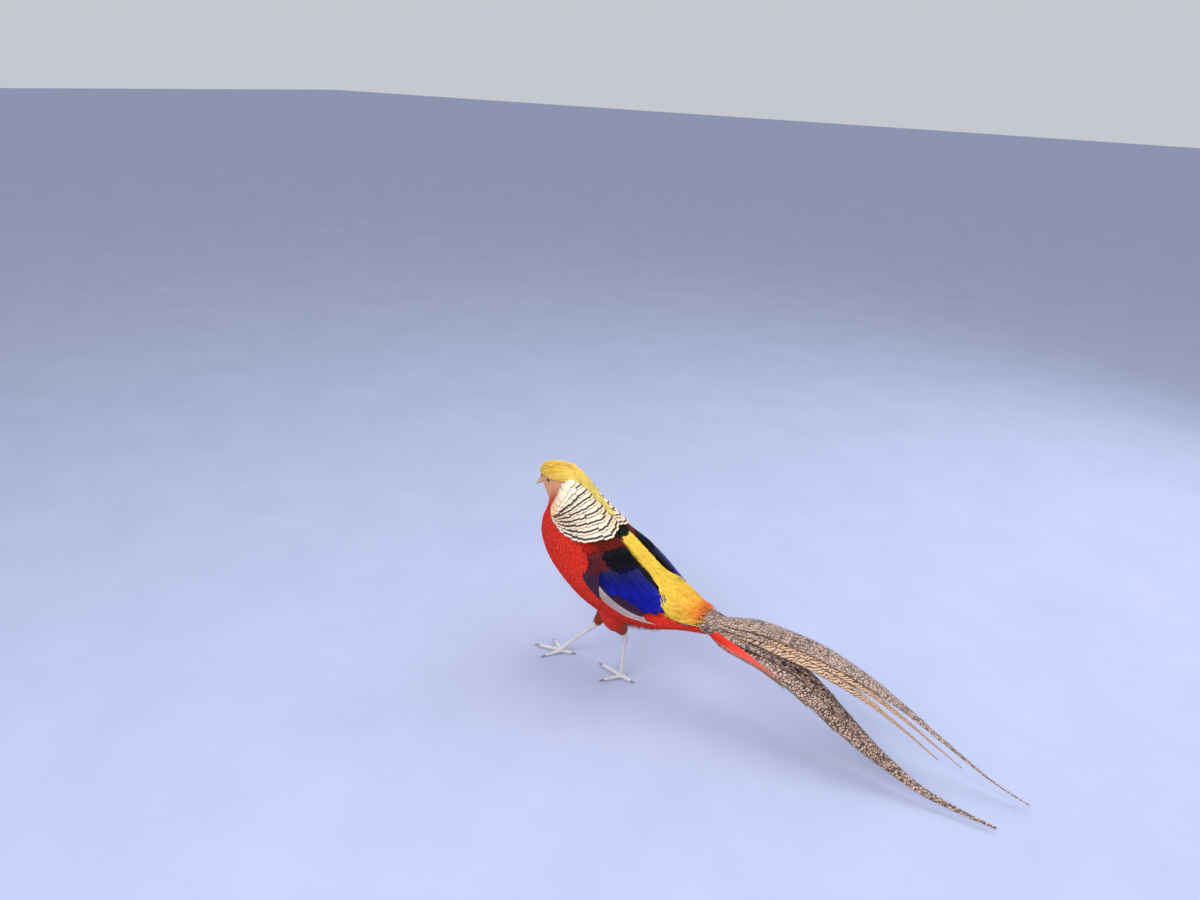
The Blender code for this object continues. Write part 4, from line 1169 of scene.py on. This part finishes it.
BILL_ROOT = np.array((-0.0929, 0, 0.3086))
BILL_TIP = np.array((-0.1080, 0, 0.2978))
BILL_PALE, BILL_DARK, NOSTRIL_SHADE = tone(206, 184, 140), tone(120, 96, 70), tone(40, 26, 20)
# name, way up, depth and half width in mm, share of the length, droop in mm
BILL_HALVES = (("bill_upper", 1, 7.4, 5.0, 1.0, 1.8), ("bill_lower", -1, 3.6, 4.2, 0.86, 1.2))


def make_bill(material):
    """Both halves of the bill, with the line of the mouth between them."""
    forward = unit(BILL_TIP - BILL_ROOT)
    for name, way, depth, half, reach, droop in BILL_HALVES:
        up = np.array((forward[2], 0, -forward[0])) * way
        length = np.linalg.norm(BILL_TIP - BILL_ROOT) * reach
        t, j = np.meshgrid(np.linspace(-0.12, 1, 48), np.arange(33) / 32, indexing="ij")
        fall = (1 - np.clip(t, 0, 1)) ** 0.75
        centre = (BILL_ROOT + forward * (0.3 * MM + length * t[..., None]) + up * 0.15 * MM
                  - UP * (droop * MM * np.clip(t, 0, 1) ** 3)[..., None])
        turn = np.pi * j
        high = depth * MM * np.maximum(fall, 0.10) * np.sin(turn) ** 0.9
        wide = half * MM * np.maximum(fall, 0.07) * np.cos(turn)
        if way > 0:
            pit = np.exp(-((t - 0.26) / 0.085) ** 2 - ((np.abs(j - 0.5) - 0.27) / 0.05) ** 2)
            high = high - 0.9 * MM * pit
            wide = wide * (1 - 0.20 * pit)
        points = centre + up * high[..., None] + np.array((0, 1.0, 0)) * wide[..., None]
        colour = mix(BILL_PALE, BILL_DARK, 0.55 * ramp(t, 0.6, 1.0))
        if way > 0:
            # The nostril's shallow pit is painted dark: painted shade standing for the depth of
            # its opening.
            colour = mix(colour, NOSTRIL_SHADE, np.clip(1.3 * pit, 0, 1))[:, ::-1]
            points = points[:, ::-1]
        piece = solid(f"{name}_fine", *tube_arrays(points, colour))
        dress(piece, material, (name,))


TOE_LENGTHS = (0.040, 0.029, 0.030)
TOE_RADII = tuple(3.0 * share for share in (1.15, 1.1, 0.98, 0.88, 0.60))
CLAW_LENGTH = 8.5 * MM
PALM_HEIGHT = 6.5 * MM
SCUTE, TOE_SCUTE = 3.0 * MM, 2.3 * MM


def scaled_tube(centres, radii, rows, sides, scute=1.0, depth=0.0, floor=None,
                front=(0, 0, 1.0)):
    """Tube along a smooth path with overlapping plates on its front or upper side."""
    t = np.linspace(0, 1, rows)
    line, radius = through(centres, t), through(np.array(radii) * MM, t)
    ahead = unit(np.gradient(line, axis=0))
    aside = unit(np.cross(ahead, np.array(front, float)))
    up = np.cross(aside, ahead)
    travel = np.concatenate([[0], np.cumsum(np.linalg.norm(np.diff(line, axis=0), axis=1))])
    turn = np.arange(sides) * math.tau / sides
    saw = (travel / scute) % 1.0
    facing = ramp(np.sin(turn), 0.0, 0.6)
    plates = depth * (saw[:, None] - 0.5) * facing[None]
    size = radius[:, None] + plates
    points = (line[:, None] + aside[:, None] * (size * np.cos(turn))[..., None]
              + up[:, None] * (size * np.sin(turn))[..., None])
    if floor is not None:
        points[..., 2] = np.maximum(points[..., 2], floor)
    return points, saw[:, None] * facing[None]


LEG = tone(226, 222, 222)
LEG_DARK = tone(164, 154, 150)
CLAW_ROOT, CLAW_TIP = tone(158, 148, 138), tone(92, 82, 76)
LEG_RADII = (5.0, 4.7, 3.5, 3.2, 3.5, 4.3)
LEG_FRONT = (-1.0, 0, 0.35)
SPUR_RADII = (2.4, 1.9, 1.0, 0.3)
CLAW_RADII = (1.7, 1.3, 0.85, 0.2)
HIND_TURN, HIND_LENGTH = 188, 0.017
PALM_SIZE = (6.5, 5.2, 5.0)
LEG_ROWS, LEG_SIDES = 170, 28
TOE_ROWS, TOE_SIDES = 2.2, 20
SPUR_ROWS, SPUR_SIDES = 24, 16
CLAW_ROWS, CLAW_SIDES = 22, 16


def leg_piece(name, points, saw):
    """Piece of a leg, darker where one plate meets the next."""
    colour = mix(LEG, LEG_DARK, 0.55 * np.exp(-((saw - 0.04) / 0.08) ** 2) * (saw > 0.001))
    return solid(name, *tube_arrays(points, colour))


def level_heading(angle):
    """Level direction: the angle is counted from straight ahead towards the left side."""
    turn = math.radians(angle)
    return np.array((-math.cos(turn), -math.sin(turn), 0))


def toe_line(centre, angle, length, lift):
    """Points along a toe."""
    ahead = level_heading(angle)
    start = np.array((*centre, 0))
    return np.array([start + ahead * length * t + UP * z for t, z in
                     ((0.0, lift), (0.28, lift * 0.78), (0.55, 2.9 * MM), (0.80, 2.8 * MM),
                      (1.0, 2.4 * MM))])


def make_legs(skin, horn):
    """Scaled legs and toes, each fused into one, and their claws."""
    for word, side, _, knee, ankle, centre, angles in LEGS:
        ankle = np.array(ankle)
        foot = np.array((*centre, PALM_HEIGHT))
        top = ankle + unit(foot - ankle) * 0.3 * MM
        bottom = foot + UP * 2.5 * MM
        start = ankle - unit(foot - ankle) * 5 * MM
        if side < 0:
            start = ankle + unit(np.array(knee) - ankle) * 14 * MM
        points = np.array([start] + [top + (bottom - top) * k for k in (0.06, 0.3, 0.55, 0.8)]
                          + [bottom - UP * 2 * MM])
        rings, saw = scaled_tube(points, LEG_RADII, LEG_ROWS, LEG_SIDES, SCUTE, 0.50 * MM,
                                 front=LEG_FRONT)
        leg = leg_piece(f"leg_{word}", rings, saw)
        others = []
        places = list(zip(angles, TOE_LENGTHS)) + [(angles[0] + HIND_TURN, HIND_LENGTH)]
        for number, (angle, length) in enumerate(places, 1):
            line = toe_line(centre, angle, length, PALM_HEIGHT * 0.7)
            rings, saw = scaled_tube(line, TOE_RADII, int(length / MM * TOE_ROWS), TOE_SIDES,
                                     TOE_SCUTE, 0.36 * MM, 0.0)
            others.append(leg_piece("toe", rings, saw))
            make_claw(f"claw_{word}_{number}", line[-1], angle, horn)
        palm = ball(0.05, 16, 24)[0] * PALM_SIZE * MM
        palm = palm + np.array((*centre, 5.0 * MM))
        palm[..., 2] = np.maximum(palm[..., 2], 0.0)
        others.append(leg_piece("palm", palm, np.zeros(palm.shape[:2])))
        root = top + (bottom - top) * 0.62
        spur = np.array([root + np.array((1, 0, 0.1)) * mm * MM for mm in (0, 4, 8, 10)])
        others.append(leg_piece("spur", *scaled_tube(spur, SPUR_RADII, SPUR_ROWS, SPUR_SIDES)))
        join_pieces(leg, others)
        dress(leg, skin, (f"tarsus_{word}", f"foot_{word}"))


def make_claw(name, base, angle, material):
    """Curved claw just past the end of its toe."""
    ahead = level_heading(angle)
    points = np.array([base + ahead * (CLAW_LENGTH * t - 0.8 * MM) + UP * z * MM
                       for t, z in ((0.0, 0.0), (0.35, 0.15), (0.7, -0.4), (1.08, -1.4))])
    rings, _ = scaled_tube(points, CLAW_RADII, CLAW_ROWS, CLAW_SIDES, floor=0.1 * MM)
    t = steps(CLAW_ROWS) * np.ones((1, CLAW_SIDES))
    colour = mix(CLAW_ROOT, CLAW_TIP, t)
    piece = solid(f"{name}_fine", *tube_arrays(rings, colour))
    dress(piece, material, (name,))


class Weave:
    """A material and short forms for building its nodes."""

    def __init__(self, name):
        self.material = bpy.data.materials.new(name)
        self.material.use_nodes = True
        self.tree = self.material.node_tree

    def put(self, socket, value):
        if isinstance(value, bpy.types.NodeSocket):
            self.tree.links.new(value, socket)
        elif value is not None:
            socket.default_value = value

    def node(self, kind, inputs, output=0, **settings):
        """New node with values or links for its inputs; gives one of its outputs."""
        node = self.tree.nodes.new("ShaderNode" + kind)
        for key, value in settings.items():
            setattr(node, key, value)
        for key, value in inputs.items():
            self.put(node.inputs[key], value)
        return node.outputs[output]

    def math(self, kind, a, b=None):
        return self.node("Math", {0: a, 1: b}, operation=kind)

    def plus(self, a, b):
        return self.math("ADD", a, b)

    def minus(self, a, b):
        return self.math("SUBTRACT", a, b)

    def times(self, a, b):
        return self.math("MULTIPLY", a, b)

    def vary(self, noise, amount, middle=1.0):
        """A value moved up and down by a noise from 0 to 1."""
        return self.plus(self.times(self.minus(noise, 0.5), amount), middle)

    def coat(self):
        return self.node("Attribute", {}, "Color", attribute_name="Coat")

    def map(self, name):
        return self.node("UVMap", {}, uv_map=name)

    def split(self, vector):
        return self.node("SeparateXYZ", {0: vector}, slice(2))

    def combine(self, x, y):
        return self.node("CombineXYZ", {0: x, 1: y})

    def object_place(self):
        return self.node("TexCoord", {}, "Object")

    def noise(self, vector, scale, detail=2.0, rough=0.5):
        return self.node("TexNoise", {"Vector": vector, "Scale": scale, "Detail": detail,
                                      "Roughness": rough}, "Fac")

    def cells(self, vector, scale, feature="F1", spread=1.0):
        return self.node("TexVoronoi", {"Vector": vector, "Scale": scale, "Randomness": spread},
                         "Distance", feature=feature)

    def step(self, value, start, end):
        return self.node("MapRange", {"Value": value, "From Min": start, "From Max": end},
                         "Result", interpolation_type="SMOOTHSTEP")

    def blend(self, share, a, b):
        a, b = [c if isinstance(c, bpy.types.NodeSocket) else (*c, 1.0) for c in (a, b)]
        return self.node("Mix", {"Factor": share, 6: a, 7: b}, 2, data_type="RGBA")

    def scaled(self, colour, value):
        return self.node("VectorMath", {0: colour, "Scale": value}, operation="SCALE")

    def finish(self, colour, values, height=None, strength=0.35, distance=0.0002):
        """Give the shader its colour, its bumps and its other values."""
        shader = self.tree.nodes["Principled BSDF"]
        self.put(shader.inputs["Base Color"], colour)
        if height is not None:
            self.put(shader.inputs["Normal"], self.node("Bump", {
                "Strength": strength, "Distance": distance, "Height": height}))
        for key, value in values.items():
            shader.inputs[key].default_value = value
        return self.material


# The tail: pale and dark of the net and of the bars, the feathers' edge and their shaft
NET_TONES = tone(206, 172, 150), tone(60, 42, 44)
BAR_TONES = tone(204, 162, 124), tone(60, 42, 42)
TAIL_EDGE, TAIL_SHAFT = tone(206, 176, 156), tone(96, 66, 50)


def barbs(weave, fine):
    """Fine slanting lines of the barbs, from 0 to 1, and distance from the shaft."""
    x, y = weave.split(weave.map("Vane"))
    across = weave.math("ABSOLUTE", weave.minus(x, 0.5))
    slant = weave.minus(y, weave.times(across, 0.35))
    place = weave.combine(weave.times(across, 2.0), weave.times(slant, fine))
    return weave.noise(place, 1.0, 1.0), across


def plumage(name, roughness, sheen, fine=14.0, contrast=0.35, specular=0.35):
    """Feathers coloured by their zone, with barbs and small variations."""
    weave = Weave(name)
    lines, _ = barbs(weave, fine)
    wide = weave.noise(weave.object_place(), 55.0, 3.0)
    value = weave.vary(wide, 0.30, weave.vary(lines, contrast))
    return weave.finish(weave.scaled(weave.coat(), value),
                        {"Roughness": roughness, "Sheen Weight": sheen, "Sheen Roughness": 0.4,
                         "Specular IOR Level": specular}, lines)


def cape_material():
    """Cream cape feathers with a dark bar near the tip and a thin one at the edge."""
    weave = Weave("cape_feathers")
    lines, across = barbs(weave, 26.0)
    y = weave.split(weave.map("Vane"))[1]
    bent = weave.plus(y, weave.times(weave.math("POWER", across, 2.0), 0.16))
    bent = weave.vary(lines, 0.03, bent)
    dark = weave.times(weave.step(bent, 0.745, 0.775), weave.step(bent, 0.905, 0.880))
    shade = weave.scaled(weave.coat(), weave.vary(lines, 0.30))
    return weave.finish(weave.blend(dark, shade, BAR), {
        "Roughness": 0.5, "Sheen Weight": 0.15, "Specular IOR Level": 0.35}, lines)


def net(weave, metre, warp, lines):
    """Dark net of the long tail feathers, which leaves pale spots."""
    x, y = weave.split(metre)
    fine = weave.noise(metre, 55.0, 1.0)
    bend = weave.plus(weave.times(warp, 0.06), weave.times(fine, 0.030))
    bend = weave.plus(bend, weave.times(lines, 0.022))
    place = weave.combine(weave.plus(x, bend), weave.plus(weave.times(y, 1.25), bend))
    return weave.step(weave.cells(place, 23.0, "DISTANCE_TO_EDGE", 0.9), 0.18, 0.07)


def bars(weave, metre, warp, lines, across):
    """Dark wavy slanting bars of the other tail feathers."""
    y = weave.split(metre)[1]
    phase = weave.plus(weave.plus(y, weave.times(across, 0.28)), weave.times(warp, 0.20))
    phase = weave.plus(phase, weave.times(lines, 0.022))
    return weave.step(weave.math("SINE", weave.times(phase, 84.0)), 0.05, 0.45)


def tail_material(name, netted):
    """Buff tail feathers: a dark net with pale spots, or wavy slanting bars."""
    weave = Weave(name)
    lines, across = barbs(weave, 160.0)
    metre = weave.map("Metre")
    warp = weave.noise(metre, 9.0, 2.0)
    if netted:
        colour = weave.blend(net(weave, metre, warp, lines), *NET_TONES)
    else:
        colour = weave.blend(bars(weave, metre, warp, lines, across), *BAR_TONES)
    shaft = weave.step(across, 0.030, 0.016)
    edge = weave.step(across, 0.40, 0.5)
    colour = weave.blend(weave.times(edge, 0.45), colour, TAIL_EDGE)
    colour = weave.blend(weave.times(shaft, 0.8), colour, TAIL_SHAFT)
    return weave.finish(weave.scaled(colour, weave.vary(lines, 0.35)),
                        {"Roughness": 0.5, "Sheen Weight": 0.10}, weave.plus(lines, shaft), 0.4,
                        0.0003)


def striped_material():
    """Brown flight feathers with buff-white outer stripes."""
    weave = Weave("flight_feathers")
    lines, across = barbs(weave, 60.0)
    pale_edge = weave.times(weave.step(across, 0.09, 0.13), weave.step(across, 0.475, 0.45))
    shade = weave.blend(pale_edge, PRIMARY_DARK, PRIMARY)
    colour = weave.scaled(shade, weave.vary(lines, 0.3))
    return weave.finish(colour, {"Roughness": 0.5}, lines, 0.3)


def skin_material(name, scale, roughness, sheen=0.0, relief=0.35):
    """Skin, scales or horn coloured by its points, with fine bumps."""
    weave = Weave(name)
    place = weave.object_place()
    grain = weave.cells(place, scale)
    value = weave.vary(weave.noise(place, 90.0, 3.0), 0.35)
    value = weave.minus(value, weave.times(grain, 0.6 * relief))
    return weave.finish(weave.scaled(weave.coat(), value),
                        {"Roughness": roughness, "Sheen Weight": sheen}, grain, relief, 0.0003)


def eye_material():
    """Wet gloss over the painted pupil and iris."""
    weave = Weave("eye_gloss")
    flecks = weave.noise(weave.object_place(), 900.0, 2.0)
    return weave.finish(weave.scaled(weave.coat(), weave.vary(flecks, 0.5)),
                        {"Roughness": 0.06, "Coat Weight": 1.0, "Coat Roughness": 0.02})


FLOOR_SIZE = 40.0
FLOOR_TONES = tone(166, 173, 205), tone(182, 189, 220)


def make_floor():
    """Plain pale floor under the feet."""
    bpy.ops.mesh.primitive_plane_add(size=FLOOR_SIZE, location=(0, 0, 0))
    floor = bpy.context.object
    floor.name = "floor"
    weave = Weave("floor")
    grain = weave.noise(weave.object_place(), 6.0, 6.0, 0.6)
    floor.data.materials.append(weave.finish(weave.blend(grain, *FLOOR_TONES),
                                             {"Roughness": 0.85}))


CAMERA_PLACE = np.array((0.514, -1.010, 0.88))
CAMERA_HEADING = math.radians(27.0)
CAMERA_PITCH = math.radians(23.8)
CAMERA_ROLL = math.radians(2.7)
CAMERA_LENS = 25.8


def make_camera():
    """Camera of the photo: it looks down past the bird's left side from behind."""
    level = np.array((-math.sin(CAMERA_HEADING), math.cos(CAMERA_HEADING), 0))
    right = np.array((math.cos(CAMERA_HEADING), math.sin(CAMERA_HEADING), 0))
    forward = level * math.cos(CAMERA_PITCH) - np.array((0, 0, math.sin(CAMERA_PITCH)))
    up = np.cross(right, forward)
    turned = right * math.cos(CAMERA_ROLL) + up * math.sin(CAMERA_ROLL)
    up = up * math.cos(CAMERA_ROLL) - right * math.sin(CAMERA_ROLL)
    data = bpy.data.cameras.new("camera")
    data.lens = CAMERA_LENS
    data.sensor_width = 36.0
    data.sensor_fit = "HORIZONTAL"
    camera = bpy.data.objects.new("camera", data)
    bpy.context.scene.collection.objects.link(camera)
    place = CAMERA_PLACE + SHIFT
    camera.matrix_world = Matrix([[turned[i], up[i], -forward[i], place[i]] for i in range(3)]
                                 + [[0, 0, 0, 1]])
    bpy.context.scene.camera = camera


SKY_COLOUR, SKY_STRENGTH = (0.90, 0.93, 1.0, 1), 0.62
# name, place, size and power of each soft light
LIGHTS = (("key", (-0.4, -1.5, 1.9), 1.3, 30.0), ("top", (0.5, 0.3, 2.2), 1.6, 22.0),
          ("back", (0.9, 1.4, 1.2), 1.2, 10.0))
LIGHT_AIM = (-0.1, 0, 0.18)


def make_light():
    """Soft daylight from above and a larger soft light from the camera's side."""
    world = bpy.data.worlds.new("sky")
    world.use_nodes = True
    sky = world.node_tree.nodes["Background"].inputs
    sky["Color"].default_value = SKY_COLOUR
    sky["Strength"].default_value = SKY_STRENGTH
    bpy.context.scene.world = world
    for name, place, size, power in LIGHTS:
        data = bpy.data.lights.new(name, "AREA")
        data.size = size
        data.energy = power
        light = bpy.data.objects.new(name, data)
        bpy.context.scene.collection.objects.link(light)
        light.location = place
        aim = Vector(LIGHT_AIM) - Vector(place)
        light.rotation_euler = aim.to_track_quat("-Z", "Y").to_euler()
    bpy.context.scene.view_settings.view_transform = "Standard"


def main():
    """The whole model: feathers, skin, eyes, bill and legs, with floor, camera and light."""
    soft = plumage("soft_feathers", 0.60, 0.06, specular=0.18)
    silky = plumage("silky_feathers", 0.45, 0.08, 9.0, 0.30, specular=0.22)
    firm = plumage("firm_feathers", 0.50, 0.0, 40.0, 0.30, specular=0.06)
    blue = plumage("blue_feathers", 0.34, 0.0, 60.0, 0.35, specular=0.10)
    fine = plumage("face_feathers", 0.60, 0.06, 4.0, 0.18, specular=0.15)
    scales = skin_material("leg_scales", 700.0, 0.5)
    horn = skin_material("horn", 1500.0, 0.32, 0.0, 0.06)
    make_skin(skin_material("skin", 400.0, 0.6, 0.1))
    make_lids(skin_material("bare_skin", 1400.0, 0.5))
    make_eyes(eye_material())
    make_bill(horn)
    make_body_coat(soft)
    make_thigh_coat(soft)
    make_face_coat(fine)
    make_crest(silky)
    make_cape(cape_material())
    make_mantle(firm)
    make_scapulars(firm)
    for side, word in ((-1, "left"), (1, "right")):
        make_wing_body(side, f"wing_{word}", firm)
    make_wing_feathers(blue, firm, striped_material())
    make_back_plumes(silky)
    make_belly_down(soft)
    netted = tail_material("netted_feathers", True)
    make_tail(netted, tail_material("barred_feathers", False), soft)
    make_root_coverts(netted)
    make_legs(scales, horn)
    make_floor()
    make_camera()
    make_light()


main()
